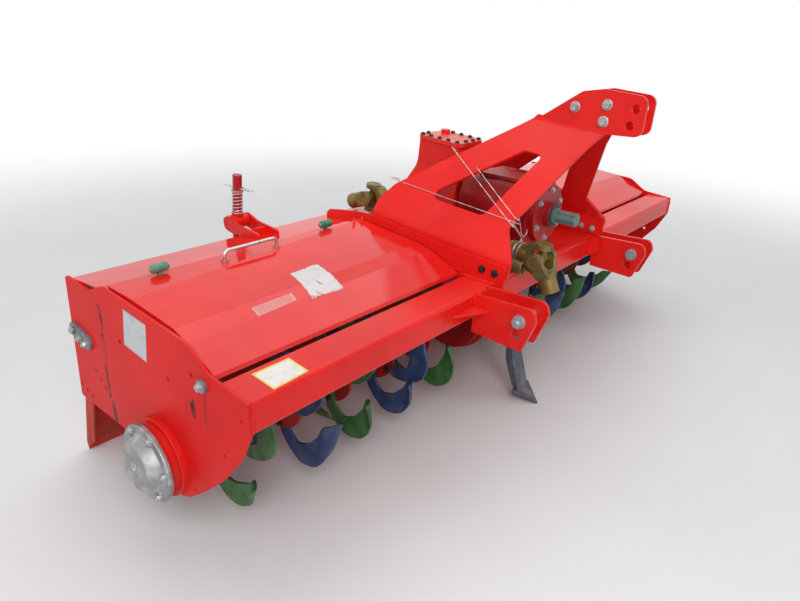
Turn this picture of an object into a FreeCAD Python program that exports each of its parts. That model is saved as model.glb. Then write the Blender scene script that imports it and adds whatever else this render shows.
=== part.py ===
import FreeCAD, Part
import math
import os

# Three-point mounted rotavator: side plates, front beam, two lifting hood lids,
# bladed rotor driven at the centre, trailing board on two sprung rods.
# Millimetres. All outlines are given from the lower hitch pins: x across the
# machine, y rearwards, z up. The finished pieces are then moved so that the
# ground is z = 0 and the origin lies under the middle of the machine.

V = FreeCAD.Vector
NEAR, FAR = -1, 1

# Main dimensions
WIDTH = 2512.0            # over the side plates
SIDE_T = 8.0              # side plate thickness
BLADE_R = 236.0           # rotor axis to blade tip
STAND = 27.0              # blade tips above the ground, the plough point carries the front
ROTOR_Y = 506.0           # rotor axis behind the hitch pins
ROTOR_Z = -271.0          # rotor axis below the hitch pins
GROUND_Z = ROTOR_Z - BLADE_R - STAND
RUN_FIT = 0.05            # radial clearance of a turning fit
PIN_FIT = 0.3             # radial clearance of a hinge pin

# Front beam, a rectangular tube
BEAM_Y = 151.0            # front face
BEAM_DEPTH = 113.0
BEAM_HEIGHT = 80.0
BEAM_TOP = 36.0
BEAM_WALL = 6.0
BEAM_CORNER = 12.0

# Side plates
PLATE_REAR = 916.0        # rear edge at the top
PLATE_LOW = -290.0        # lower edge behind the bearing
BEARING_LOBE_R = 107.0    # round bottom of the plate under the bearing
# small holes through the plate: (y, z, radius)
PLATE_HOLES = (
    (753.0, -30.0, 6.0),
    (657.0, -12.0, 6.0),
    (446.0, -29.0, 6.0),
    (347.0, 22.0, 6.0),
    (357.0, -60.0, 6.0),
    (244.0, -136.0, 6.0),
    (371.0, -247.0, 5.0),
    (377.0, -306.0, 5.0),
    (176.0, -15.0, 4.0),
    (929.0, -248.0, 6.0),
    (899.0, -256.0, 6.0),
    (873.0, -265.0, 6.0),
)

# Rotor bearings in the side plates
HOUSING_R = 105.0
HOUSING_T = 38.0
RING_T = 16.0             # wide part of the housing against the plate
NECK_R = 92.0             # groove between the housing's ring and the cap
SPIGOT_R = 58.0
SPIGOT_IN = 12.0          # spigot standing inside the side plate
CAP_R = 103.0
CAP_T = 12.0
DOME_R = 78.0
DOME_TOP_R = 60.0
DOME_T = 28.0
CAP_WALL = 7.0
CAP_HOLLOW_R = 50.0
NIPPLE_R = 5.0
JOURNAL_R = 30.0

# Rotor
ROTOR_TUBE_R = 42.0
FLANGE_R = 95.0
FLANGE_T = 10.0
FLANGE_END = 158.0        # side plate to the outermost flange
FLANGE_LAST = 290.0       # innermost flange from the middle
# turn forward from straight down, in degrees, of the blades on each flange from the
# outermost one: (blades bent outwards, blades bent towards the middle)
FLANGE_TURNS = ((-17.0, 73.0), (94.0, 4.0), (8.0, 98.0), (2.0, 62.0), (19.0, 109.0))
BLADES_PER_SIDE = 2       # on one flange, bent to one side
BLADE_T = 8.0
BLADE_ROOT_R = 52.0
BLADE_BEND = 64.0         # outer radius of the end's sideways bend
BEND_START = 148.0        # where it begins, before the root's line
BLADE_REACH = 70.0        # sideways reach of the bent end

# Drop gear case in the middle
CASE_HALF = 56.0
CASE_R = 140.0
CASE_TOP_R = 105.0
CASE_TOP_Y = 395.0
CASE_TOP_Z = -20.0
CASE_RIM = 12.0
CASE_RIM_HALF = 16.0
HUB_R = 46.0

# Hood: rear deck and the two lids
SEAM_Y = 712.0            # rear edge of the lids
SEAM_GAP = 6.0
SHEET_T = 4.0
DECK_FRONT_Z = 104.0
DECK_REAR_Y = 905.0
DECK_REAR_Z = 84.0
APRON_LOW = -22.0
LID_T = 4.0
LID_END_GAP = 6.0
LID_REAR_Z = 117.0        # top of the lids at the seam
LID_PIVOT_Y = 303.0
LID_PIVOT_Z = 15.0
LID_PIVOT_R = 8.0
LID_EAR_T = 5.0
KNOB_R = 12.0
KNOB_L = 52.0
KNOB_H = 17.0             # middle of the grip above the lid
KNOB_STUD_R = 7.0
KNOB_OUT = 132.0          # from the lid's outer end to the outer grip
KNOB_IN = 165.0           # from the lid's inner end to the inner grip
KNOB_BACK = 15.0          # from the lid's rear edge
HANDLE_R = 5.0
HANDLE_L = 181.0
HANDLE_H = 30.0
HANDLE_OUT = 304.0        # from the lid's outer end to the handle
HANDLE_BACK = 52.0        # from the lid's rear edge
HANDLE_FOOT = 18.0        # width of its square feet

# Bulkheads that carry the mast, one each side of the gearbox
BULK_X = 345.0            # inner face
BULK_T = 8.0
BULK_FRONT = 120.0        # front edge, before the beam
BULK_REAR = 868.0         # rear end on the deck

# Mast
MAST_T = 10.0
MAST_HALF = 32.5          # middle of the plate from the machine's middle
MAST_FRONT = -88.0        # front edge of the mast head
FOOT_GAP = 2.0            # foot above the floor plate
FOOT_BEND = (103.0, 110.0)   # (y, z) on the fold between foot and web
FOLD_RISE = 0.08          # both folds climb rearwards
FOLD_R = 25.0             # radius in the middle of the folded plate
WEB_SLOPE = 1.182         # climb of the web towards the middle
TOP_LINK_R = 13.0
TOP_LINK_HOLES = ((-58.0, 547.0), (-48.0, 499.0))
MAST_BOLTS = ((125.0, 534.0), (27.0, 550.0), (31.0, 502.0))
MAST_SPACER_R = 17.0
MAST_BOLT_R = 10.0
MAST_BOLT_OUT = 10.0

# Lower hitch
HITCH_MID = 412.5         # half the span between the lower hitch points
HITCH_GAP = 63.0          # between the two plates of one clevis
HITCH_T = 12.0
HITCH_PIN_R = 14.1
SPARE_HOLE = (8.0, -46.0)
PIN_WASHER_R = 20.0
PIN_WASHER_T = 4.0
PIN_NUT_R = 17.0          # corner radius of the hexagon
PIN_NUT_T = 14.0

GUSSET_OUT = 104.0        # flat gusset in the corner of outer plate and beam
GUSSET_FORWARD = 50.0
GUSSET_T = 7.0
GUSSET_TOP = -1.5

# Drive shaft laid up for transport between the near bulkhead and the gearbox
SHAFT_X = -200.0
SHAFT_FRONT = (84.0, 98.0)   # (y, z) of the front cross
SHAFT_REAR_Y = 785.0      # rear cross, its yoke standing on the deck
SHAFT_TUBE_R = 23.0
YOKE_EAR_OUT = 46.0       # cross middle to the outside of an ear
YOKE_EAR_IN = 34.0
YOKE_HALF_W = 22.0
YOKE_BOSS_R = 27.0
YOKE_BOSS_OUT = 50.0
YOKE_SHOULDER = 62.0      # where the fork meets its hub
YOKE_HUB_R = 28.0
YOKE_HUB_END = 108.0
YOKE_BORE_R = 19.0
CROSS_R = 13.0
FRONT_YOKE_TURN = -116.0  # degrees from rearwards, of the yokes that hang free
REAR_YOKE_TURN = -19.0
SPARE_TUBE_X = -245.0
SPARE_TUBE_R = 20.0
SPARE_TUBE_WALL = 4.0
SPARE_TUBE_Y = (118.0, 640.0)
SEAT_GAP = 0.3            # between what only lies on another piece

# Gearbox and input shaft
INPUT_Z = 183.0
INPUT_R = 22.2
INPUT_TIP_Y = 75.0
INPUT_ROOT_R = 19.0
INPUT_TIP = 3.0           # chamfer of the end
JOURNAL_Y = 148.0         # where the shaft steps up to its journal
INPUT_JOURNAL_R = 27.0
SPLINE_END = 6.0          # plain length before the journal
SPLINES = 6
SPLINE_GAP = 4.0
SPLINE_TURN = 8.0         # degrees of the first groove from the top
BOX_HALF = 105.0
BOX_Y0 = 205.0
BOX_Y1 = 470.0
BOX_TOP = 286.0
FLANGE_FACE_Y = 180.0
GEAR_FLANGE_R = 98.0
SEAL_R = 42.0
SEAL_Y = 158.0
FLOOR_T = 12.0            # centre floor plate under the gearbox

# Gear tower behind the gearbox, with its bolted cover
TOWER_HALF = 80.0
TOWER_Y0 = 505.0
TOWER_Y1 = 687.0
TOWER_Z0 = 371.0          # top of the cover at its front edge
TOWER_Z1 = 383.0          # and at its rear edge
COVER_T = 14.0
COVER_OVER = 8.0          # cover standing out past the body
TOWER_REAR = 815.0        # foot of the body on the deck
PLUG_R = 17.0
PLUG_H = 16.0

# Plough leg in front of the gear case
LEG_W = 70.0
LEG_T = 23.0
POINT_T = 10.0

# Trailing board and its rods
HINGE_Y = 903.0
HINGE_Z = -64.0
HINGE_TUBE_R = 13.0
HINGE_PIN_R = 8.0
BOARD_TURN = 26.0         # turned lower edge of the board
BOARD_LIP = 14.0          # its reach forward
BOARD_T = 5.0
BOARD_LEAN = 15.0         # degrees back from upright
BOARD_SIDE = 12.0         # gap to each side plate
FLANGE_IN = 42.0          # side flange turned forward
ROD_X = 672.0
ROD_EYE_DOWN = 217.0      # eye from the hinge, along the board
ROD_EYE_OUT = 34.0        # eye behind the board
TRUN_Y = 962.0
TRUN_Z = 112.0
TRUN_R = 24.0
TRUN_W = 64.0
ROD_R = 15.0
EAR_T = 8.0
SPRING_R = 19.0
SPRING_WIRE = 1.7         # radius of the wire
SPRING_FREE = 74.0
ROD_LENGTH = 535.0
ROD_FIT = 0.3
TRUN_PIN_R = 10.0
LUG_HALF = 26.0           # half the distance between a pair of rod lugs
LUG_T = 8.0
EYE_R = 20.0
EYE_PIN_R = 8.0
EYE_HOLE_R = 16.0
LUG_PLATE_T = 8.0
OVAL_L = 68.0             # between the rounded ends of the hinge plate
OVAL_R = 22.0
LUG_TILT = math.radians(12)
LEG_Y = 226.0             # front face of the leg's upright part
LEG_TOP = -60.0
LEG_BEND = 150.0          # where the bend begins, above the point's wings
POINT_TIP_Y = 113.0       # tip of the point, on the ground
POINT_FALL = 26.0         # degrees the point falls forward
POINT_L = 88.0
POINT_W = 116.0


def to_part(shape):
    """Move a piece from the hitch pins' frame to the part's own frame."""
    moved = shape.copy()
    moved.translate(V(0, -MIDDLE_Y, -GROUND_Z))
    return moved


def export(name, shape):
    """Write one piece, cleaned of seams between coplanar faces."""
    to_part(shape.removeSplitter()).exportStep("parts/" + name + ".step")


def mirrored(shape):
    """The far-side twin of a near-side piece."""
    return shape.mirror(V(0, 0, 0), V(1, 0, 0))


def wire(corners, place):
    """Closed outline through (a, b) or (a, b, corner radius) entries."""
    n = len(corners)
    pts = [V(c[0], c[1], 0) for c in corners]
    starts, ends, mids = [], [], []
    for i, c in enumerate(corners):
        p = pts[i]
        r = c[2] if len(c) > 2 else 0.0
        u = (pts[i - 1] - p).normalize()
        w = (pts[(i + 1) % n] - p).normalize()
        half = u.getAngle(w) / 2
        if r <= 0 or half > math.pi / 2 - 1e-6:
            starts.append(p)
            ends.append(p)
            mids.append(None)
            continue
        run = r / math.tan(half)
        out = (u + w).normalize()
        starts.append(p + u * run)
        ends.append(p + w * run)
        mids.append(p + out * (r / math.sin(half) - r))
    edges = []
    for i in range(n):
        if mids[i] is not None:
            arc = [place(q.x, q.y) for q in (starts[i], mids[i], ends[i])]
            edges.append(Part.Arc(*arc).toShape())
        a, b = ends[i], starts[(i + 1) % n]
        if (b - a).Length > 1e-6:
            edges.append(Part.makeLine(place(a.x, a.y), place(b.x, b.y)))
    return Part.Wire(edges)


def along_x(corners, x0, x1):
    """Plate with its (y, z) outline, from x0 to x1."""
    face = Part.Face(wire(corners, lambda a, b: V(x0, a, b)))
    return face.extrude(V(x1 - x0, 0, 0))


def along_y(corners, y0, y1):
    """Plate with its (x, z) outline, from y0 to y1."""
    face = Part.Face(wire(corners, lambda a, b: V(a, y0, b)))
    return face.extrude(V(0, y1 - y0, 0))


def along_z(corners, z0, z1):
    """Plate with its (x, y) outline, from z0 to z1."""
    face = Part.Face(wire(corners, lambda a, b: V(a, b, z0)))
    return face.extrude(V(0, 0, z1 - z0))


def rod_x(y, z, r, x0, x1):
    return Part.makeCylinder(r, x1 - x0, V(x0, y, z), V(1, 0, 0))


def rod_y(x, z, r, y0, y1):
    return Part.makeCylinder(r, y1 - y0, V(x, y0, z), V(0, 1, 0))


def rod(a, b, r):
    """Round bar between two points."""
    return Part.makeCylinder(r, (b - a).Length, a, b - a)


def turned_x(profile, y, z):
    """Turned piece about the x line through (y, z), from (x, radius) corners."""
    face = Part.Face(wire(profile, lambda a, b: V(a, y, z + b)))
    return face.revolve(V(0, y, z), V(1, 0, 0), 360)


def deck_z(y):
    """Top of the sloping rear deck."""
    share = (y - SEAM_Y - SEAM_GAP) / (DECK_REAR_Y - SEAM_Y - SEAM_GAP)
    return DECK_FRONT_Z + share * (DECK_REAR_Z - DECK_FRONT_Z)


HALF = WIDTH / 2
INNER = HALF - SIDE_T
BEAM_REAR = BEAM_Y + BEAM_DEPTH
BEAM_LOW = BEAM_TOP - BEAM_HEIGHT
HOUSING_OUT = HALF + HOUSING_T
LID_OUT = -INNER + LID_END_GAP
LID_IN = -BULK_X - BULK_T - LID_END_GAP
FLOOR_TOP = BEAM_TOP + FLOOR_T
HINGE_LEAN = math.radians(BOARD_LEAN)
BOARD_DIR = V(0, math.sin(HINGE_LEAN), -math.cos(HINGE_LEAN))
BOARD_OUT = V(0, math.cos(HINGE_LEAN), math.sin(HINGE_LEAN))
BOARD_L = (HINGE_Z - GROUND_Z - (BOARD_LIP - BOARD_T) * BOARD_OUT.z) / -BOARD_DIR.z
BOARD_BEND = V(0, HINGE_Y, HINGE_Z) + BOARD_DIR * (BOARD_L - BOARD_TURN) + BOARD_OUT * BOARD_T
MIDDLE_Y = (MAST_FRONT + BOARD_BEND.y) / 2
EYE = V(0, HINGE_Y, HINGE_Z) + BOARD_DIR * ROD_EYE_DOWN + BOARD_OUT * ROD_EYE_OUT
TRUNNION = V(0, TRUN_Y, TRUN_Z)
ROD_UP = (TRUNNION - EYE).normalize()


def front_beam():
    """Rectangular tube between the side plates."""
    r = BEAM_CORNER
    outer = [(BEAM_Y, BEAM_LOW, r), (BEAM_REAR, BEAM_LOW, r), (BEAM_REAR, BEAM_TOP, r), (BEAM_Y, BEAM_TOP, r)]
    w = BEAM_WALL
    q = r - w
    inner = [
        (BEAM_Y + w, BEAM_LOW + w, q),
        (BEAM_REAR - w, BEAM_LOW + w, q),
        (BEAM_REAR - w, BEAM_TOP - w, q),
        (BEAM_Y + w, BEAM_TOP - w, q),
    ]
    return along_x(outer, -INNER, INNER).cut(along_x(inner, -INNER, INNER))


def side_plate():
    """Near side plate: stepped top edge, curved front, round lobe under the bearing."""
    outline = [
        (PLATE_REAR, 88, 8),
        (792, 84, 30),
        (716, 117, 24),
        (357, 95, 60),
        (283, 48, 60),
        (151, BEAM_TOP, 6),
        (149, -38, 30),
        (189, -123, 120),
        (261, -215, 200),
        (335, -287, 200),
        (405, -345, 60),
        (ROTOR_Y - 45, ROTOR_Z - 97, 20),
        (ROTOR_Y, ROTOR_Z, 0),
        (ROTOR_Y + 100, PLATE_LOW, 0),
        (PLATE_REAR + 28, PLATE_LOW, 8),
    ]
    x0, x1 = -HALF, -INNER
    body = along_x(outline, x0, x1).fuse(rod_x(ROTOR_Y, ROTOR_Z, BEARING_LOBE_R, x0, x1))
    body = body.cut(rod_x(ROTOR_Y, ROTOR_Z, SPIGOT_R, x0, x1))
    body = body.cut(rod_x(LID_PIVOT_Y, LID_PIVOT_Z, LID_PIVOT_R, x0, x1))
    for y, z, r in PLATE_HOLES:
        body = body.cut(rod_x(y, z, r, x0, x1))
    return body.cut(rod_x(HINGE_Y, HINGE_Z, HINGE_PIN_R, x0, x1))


def bearing_housing():
    """Ring bolted outside the side plate, with a neck towards the cap and a spigot inside."""
    groove = -HALF - RING_T
    profile = [
        (-HOUSING_OUT, JOURNAL_R + RUN_FIT),
        (-HOUSING_OUT, NECK_R),
        (groove, NECK_R),
        (groove, HOUSING_R, 4),
        (-HALF, HOUSING_R),
        (-HALF, SPIGOT_R),
        (-INNER + SPIGOT_IN, SPIGOT_R, 3),
        (-INNER + SPIGOT_IN, JOURNAL_R + RUN_FIT),
    ]
    return turned_x(profile, ROTOR_Y, ROTOR_Z)


def bearing_cap():
    """End cap over the bearing: flat flange, conical dome, grease nipple."""
    x = -HOUSING_OUT
    face = x - CAP_T
    front = face - DOME_T
    profile = [
        (x, CAP_HOLLOW_R),
        (x, CAP_R, 1),
        (face, CAP_R, 3),
        (face, DOME_R + 4, 3),
        (front, DOME_TOP_R, 8),
        (front, NIPPLE_R),
        (front - NIPPLE_R, NIPPLE_R, 2),
        (front - NIPPLE_R, 0),
        (front + CAP_WALL, 0),
        (front + CAP_WALL, CAP_HOLLOW_R),
    ]
    return turned_x(profile, ROTOR_Y, ROTOR_Z)


def flange_places():
    """Distance of each blade flange from the middle, with the turns of its blades."""
    first = INNER - FLANGE_END
    step = (first - FLANGE_LAST) / (len(FLANGE_TURNS) - 1)
    return [(first - i * step, turns) for i, turns in enumerate(FLANGE_TURNS)]


def rotor_tube():
    """Near half of the rotor: journal, tube, hub half and blade flanges."""
    x_in = -CASE_HALF - CASE_RIM_HALF
    profile = [
        (-HOUSING_OUT - 8, 0),
        (-HOUSING_OUT - 8, JOURNAL_R, 2),
        (-INNER + SPIGOT_IN + 4, JOURNAL_R),
        (-INNER + SPIGOT_IN + 4, ROTOR_TUBE_R, 6),
        (x_in, ROTOR_TUBE_R),
        (x_in, HUB_R),
        (0, HUB_R),
        (0, 0),
    ]
    body = turned_x(profile, ROTOR_Y, ROTOR_Z)
    for x, _ in flange_places():
        body = body.fuse(rod_x(ROTOR_Y, ROTOR_Z, FLANGE_R, -x - FLANGE_T / 2, -x + FLANGE_T / 2))
    return body


def blade(side):
    """One sickle blade: straight root, wide swept arc, outer end bent to one side."""
    t, bend = BLADE_T, BLADE_BEND
    big = 2 * BLADE_R
    # outline in the flange's plane: (forward, outward) with the root pointing outward
    sickle = [
        (-20, BLADE_ROOT_R, 12),
        (20, BLADE_ROOT_R, 12),
        (24, 100, 40),
        (56, 137, 24),
        (104, 121, 60),
        (150, 76, 60),
        (166, 42, 4),
        (204, 32, 6),
        (189, 116, 120),
        (138, 190, 80),
        (64, 201, 60),
        (14, 160, 80),
        (-14, 120, 60),
    ]
    flat = along_x(sickle, -BLADE_R, BLADE_R)
    top = BEND_START + bend
    strip = [
        (0, -big),
        (side * t, -big),
        (side * t, top - t, bend - t),
        (side * BLADE_REACH, top - t),
        (side * BLADE_REACH, top),
        (0, top, bend),
    ]
    tip_round = Part.makeCylinder(BLADE_R, 2 * big, V(-big, 0, 0), V(1, 0, 0))
    return along_z(strip, 0, big).common(flat).common(tip_round)


def blades(start):
    """Near-half blades of every second flange, bent to both sides."""
    out = []
    for x, turns in flange_places()[start::2]:
        for side, turn in zip((-1, 1), turns):
            pattern = blade(side)
            for k in range(BLADES_PER_SIDE):
                one = pattern.copy()
                one.rotate(V(0, 0, 0), V(1, 0, 0), 180 - turn - k * 360.0 / BLADES_PER_SIDE)
                one.translate(V(-x + side * (FLANGE_T / 2), ROTOR_Y, ROTOR_Z))
                out.append(one)
    return Part.makeCompound(out)


def case_outline(grow):
    """Outline of the drop case in (y, z): two rounds joined by their tangents."""
    r0, r1 = CASE_TOP_R + grow, CASE_R + grow
    c0 = V(CASE_TOP_Y, CASE_TOP_Z, 0)
    c1 = V(ROTOR_Y, ROTOR_Z, 0)
    d = c1 - c0
    base = math.atan2(d.y, d.x)
    spread = math.acos((r0 - r1) / d.Length)
    a0, a1 = base + spread, base - spread

    def on(c, r, a):
        return V(0, c.x + r * math.cos(a), c.y + r * math.sin(a))

    back = base + math.pi
    p0, q0 = on(c0, r0, a0), on(c1, r1, a0)
    p1, q1 = on(c0, r0, a1), on(c1, r1, a1)
    edges = [
        Part.makeLine(p0, q0),
        Part.Arc(q0, on(c1, r1, base), q1).toShape(),
        Part.makeLine(q1, p1),
        Part.Arc(p1, on(c0, r0, back), p0).toShape(),
    ]
    return Part.Wire(edges)


def gear_case():
    """Slim case from the floor plate down to the rotor, with a bolting rim."""
    core = Part.Face(case_outline(0)).extrude(V(2 * CASE_HALF, 0, 0))
    core.translate(V(-CASE_HALF, 0, 0))
    rim = Part.Face(case_outline(CASE_RIM)).extrude(V(2 * CASE_RIM_HALF, 0, 0))
    rim.translate(V(-CASE_RIM_HALF, 0, 0))
    body = core.fuse(rim)
    body = body.fuse(rod_x(ROTOR_Y, ROTOR_Z, HUB_R + 22, -CASE_HALF - 14, CASE_HALF + 14))
    front = LEG_Y + LEG_T
    seat = [(front, LEG_TOP), (CASE_TOP_Y, LEG_TOP), (CASE_TOP_Y + 40, LEG_TOP - 160), (front, LEG_TOP - 150)]
    body = body.fuse(along_x(seat, -LEG_W / 2, LEG_W / 2))
    big = Part.makeBox(4 * CASE_HALF, 800, 400, V(-2 * CASE_HALF, 0, BEAM_TOP))
    body = body.cut(big)
    return body.cut(rod_x(ROTOR_Y, ROTOR_Z, HUB_R + RUN_FIT, -2 * CASE_HALF, 2 * CASE_HALF))


def rear_deck():
    """Folded sheet behind the lids: front lip, sloping deck and rear apron."""
    y0 = SEAM_Y + SEAM_GAP
    t = SHEET_T
    zf, zr = DECK_FRONT_Z, DECK_REAR_Z
    section = [
        (y0, zf - 30),
        (y0, zf, 4),
        (DECK_REAR_Y, zr, 10),
        (DECK_REAR_Y, APRON_LOW),
        (DECK_REAR_Y - t, APRON_LOW),
        (DECK_REAR_Y - t, zr - t, 6),
        (y0 + t, zf - t, 1),
        (y0 + t, zf - 30),
    ]
    return along_x(section, -INNER, INNER)


def lid_sections():
    """Corners of the lid sheet at its outer and inner ends, (y, z) of the top face."""
    front = [(277, 33), (282, 42)]
    outer = front + [(371, 83), (422, 102), (597, 116), (SEAM_Y, LID_REAR_Z)]
    inner = front + [(392, 86), (440, 96), (698, 119), (SEAM_Y, LID_REAR_Z)]
    return outer, inner


def lid():
    """Near lid: creased sheet with an ear at each end round the pivot bolts."""
    t = LID_T
    loops = []
    for x, top in zip((LID_OUT, LID_IN), lid_sections()):
        low = [(y + (t if y < 290 else 0), z - (t if y > 280 else 1)) for y, z in reversed(top)]
        pts = [V(x, y, z) for y, z in top + low]
        loops.append(Part.makePolygon(pts + pts[:1]))
    sheet = Part.makeLoft(loops, True, True)
    # ears hang under the sheet, well clear of its turned front lip
    ear = [
        (296, 44),
        (360, 72),
        (340, 10, 20),
        (LID_PIVOT_Y + 12, LID_PIVOT_Z - 16, 12),
        (LID_PIVOT_Y - 15, LID_PIVOT_Z - 15, 14),
        (LID_PIVOT_Y - 16, LID_PIVOT_Z + 12, 8),
    ]
    body = sheet
    for x0 in (LID_OUT, LID_IN - LID_EAR_T):
        body = body.fuse(along_x(ear, x0, x0 + LID_EAR_T))
    hole = LID_PIVOT_R + PIN_FIT
    return body.cut(rod_x(LID_PIVOT_Y, LID_PIVOT_Z, hole, LID_OUT - 1, LID_IN + 1))


def lid_bolts():
    """Pivot bolts of the near lid, through the side plate and the bulkhead."""
    r = LID_PIVOT_R
    outer = rod_x(LID_PIVOT_Y, LID_PIVOT_Z, r, -HALF - r, LID_OUT + LID_EAR_T + r)
    outer = outer.fuse(rod_x(LID_PIVOT_Y, LID_PIVOT_Z, 2 * r, -HALF - r, -HALF))
    inner = rod_x(LID_PIVOT_Y, LID_PIVOT_Z, r, LID_IN - LID_EAR_T - r, -BULK_X + r)
    inner = inner.fuse(rod_x(LID_PIVOT_Y, LID_PIVOT_Z, 2 * r, -BULK_X, -BULK_X + r))
    return Part.makeCompound([outer, inner])


def lid_handle():
    """Low bent round-bar handle on two square feet, near the lid's rear edge."""
    y = SEAM_Y - HANDLE_BACK
    x0 = LID_OUT + HANDLE_OUT
    x1 = x0 + HANDLE_L
    low = LID_REAR_Z - LID_T + 1
    top = LID_REAR_Z + HANDLE_H
    bend = 3 * HANDLE_R
    mid = bend * (1 - math.sqrt(0.5))
    path = Part.Wire([
        Part.makeLine(V(x0, y, low), V(x0, y, top - bend)),
        Part.Arc(V(x0, y, top - bend), V(x0 + mid, y, top - mid), V(x0 + bend, y, top)).toShape(),
        Part.makeLine(V(x0 + bend, y, top), V(x1 - bend, y, top)),
        Part.Arc(V(x1 - bend, y, top), V(x1 - mid, y, top - mid), V(x1, y, top - bend)).toShape(),
        Part.makeLine(V(x1, y, top - bend), V(x1, y, low)),
    ])
    ring = Part.Wire([Part.makeCircle(HANDLE_R, V(x0, y, low), V(0, 0, 1))])
    body = path.makePipeShell([ring], True, False)
    h = HANDLE_FOOT / 2
    for x in (x0, x1):
        body = body.fuse(along_z([(x - h, y - h, 3), (x + h, y - h, 3), (x + h, y + h, 3), (x - h, y + h, 3)],
                                 low, LID_REAR_Z + h))
    return body.cut(lid())


def lid_knobs():
    """Two lying rounded grips on studs that hold the rear edge of the near lid."""
    y = SEAM_Y - KNOB_BACK
    z = LID_REAR_Z + KNOB_H
    h = KNOB_L / 2
    out = []
    for x in (LID_OUT + KNOB_OUT, LID_IN - KNOB_IN):
        profile = [(x - h, 0), (x - h, KNOB_R, KNOB_R - 2), (x + h, KNOB_R, KNOB_R - 2), (x + h, 0)]
        stud = Part.makeCylinder(KNOB_STUD_R, KNOB_H + LID_T - 1, V(x, y, LID_REAR_Z - LID_T + 1), V(0, 0, 1))
        out.append(turned_x(profile, y, z).fuse(stud).cut(lid()))
    return Part.makeCompound(out)


def bulkhead():
    """Upright plate between the near lid and the gearbox, notched over the beam, its
    upper edge rising in steps to a lobe on the rear deck."""
    low = LID_PIVOT_Z - 30
    rim = SEAM_Y + SEAM_GAP
    outline = [
        (BULK_FRONT, BEAM_LOW + 24, 10),
        (BULK_FRONT, 98, 12),
        (209, 104, 30),
        (332, 109, 60),
        (407, 116, 60),
        (524, 129, 60),
        (645, 143, 60),
        (719, 139, 40),
        (794, 129, 40),
        (BULK_REAR - 13, 119, 14),
        (BULK_REAR, 105, 3),
        (BULK_REAR, deck_z(BULK_REAR), 0),
        (rim, DECK_FRONT_Z, 0),
        (rim, BEAM_TOP, 0),
        (385, BEAM_TOP, 20),
        (345, low, 20),
        (BEAM_REAR, low, 0),
        (BEAM_REAR, BEAM_TOP, 0),
        (BEAM_Y, BEAM_TOP, 0),
        (BEAM_Y, BEAM_LOW + 4, 0),
    ]
    x0, x1 = -BULK_X - BULK_T, -BULK_X
    body = along_x(outline, x0, x1)
    return body.cut(rod_x(LID_PIVOT_Y, LID_PIVOT_Z, LID_PIVOT_R, x0, x1))


def mast_plate():
    """Near mast plate folded twice: upright foot inside the bulkhead, leaning web with
    a window, upright head. The folded strip is trimmed to the outline of each part."""
    t = MAST_T
    head_x = -MAST_HALF
    foot_x = -BULK_X + t / 2
    fold_y, fold_z = FOOT_BEND

    def web_z(x, y):
        return fold_z + FOLD_RISE * (y - fold_y) + WEB_SLOPE * (x - foot_x)

    def on_web(x, y):
        return V(x, y, web_z(x, y))

    along = V(0, 1, FOLD_RISE).normalize()
    up = V(0, -FOLD_RISE, 1).normalize()
    base = on_web(foot_x, fold_y)
    rise = on_web(head_x, fold_y) - base
    rise = (rise - along * rise.dot(along)).normalize()
    normal = rise.cross(along).normalize()
    # folded strip, drawn square to the folds
    low_w, high_w = base.dot(up), on_web(head_x, fold_y).dot(up)
    turn = math.atan2(rise.x, rise.dot(up))
    shift = t / 2 * math.tan(turn / 2)
    h = t / 2
    strip = [
        (foot_x - h, low_w - 90),
        (foot_x - h, low_w + shift, FOLD_R + h),
        (head_x - h, high_w + shift, FOLD_R - h),
        (head_x - h, high_w + 160),
        (head_x + h, high_w + 160),
        (head_x + h, high_w - shift, FOLD_R + h),
        (foot_x + h, low_w - shift, FOLD_R - h),
        (foot_x + h, low_w - 90),
    ]
    folded = Part.Face(wire(strip, lambda x, w: V(x, 0, 0) + up * w + along * -150)).extrude(along * 900)

    def flat(x, y, *r):
        d = on_web(x, y) - base
        return (d.dot(along), d.dot(rise)) + r

    def spot(u, v):
        return base + along * u + rise * v - normal * (4 * t)

    def beyond(x, y, step):
        u, v = flat(x, y)
        return u, v + step

    web = [
        beyond(head_x, 21, 8),
        beyond(head_x, 247, 8),
        flat(-61, 297),
        flat(-266, 622, 60),
        flat(-310, 654, 50),
        beyond(foot_x, 654, 0),
        beyond(foot_x, 654, -8),
        beyond(foot_x, 108, -8),
        flat(-334, 112),
        flat(-273, 168, 25),
        flat(-73, 52, 40),
        flat(head_x, 21),
    ]
    window = [flat(-110, 236, 22), flat(-270, 491, 24), flat(-270, 264, 24), flat(-110, 168, 16)]
    leaf = Part.Face(wire(web, spot)).cut(Part.Face(wire(window, spot))).extrude(normal * (8 * t))
    head = [
        (247, web_z(head_x, 247)),
        (108, 581, 30),
        (42, 593, 30),
        (MAST_FRONT, 583, 26),
        (MAST_FRONT, 471, 24),
        (21, web_z(head_x, 21)),
    ]
    top = along_x(head, head_x - 2 * t, head_x + 2 * t)
    low_z = FLOOR_TOP + FOOT_GAP
    foot = [
        (108, web_z(foot_x, 108)),
        (118, low_z, 8),
        (640, low_z, 14),
        (654, web_z(foot_x, 654)),
    ]
    low = along_x(foot, foot_x - 2 * t, foot_x + 2 * t)
    body = folded.common(top.fuse([leaf, low]))
    for y, z in MAST_BOLTS:
        body = body.cut(rod_x(y, z, MAST_BOLT_R, head_x - t, head_x + t))
    for y, z in TOP_LINK_HOLES:
        body = body.cut(rod_x(y, z, TOP_LINK_R, head_x - t, head_x + t))
    return body


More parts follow.
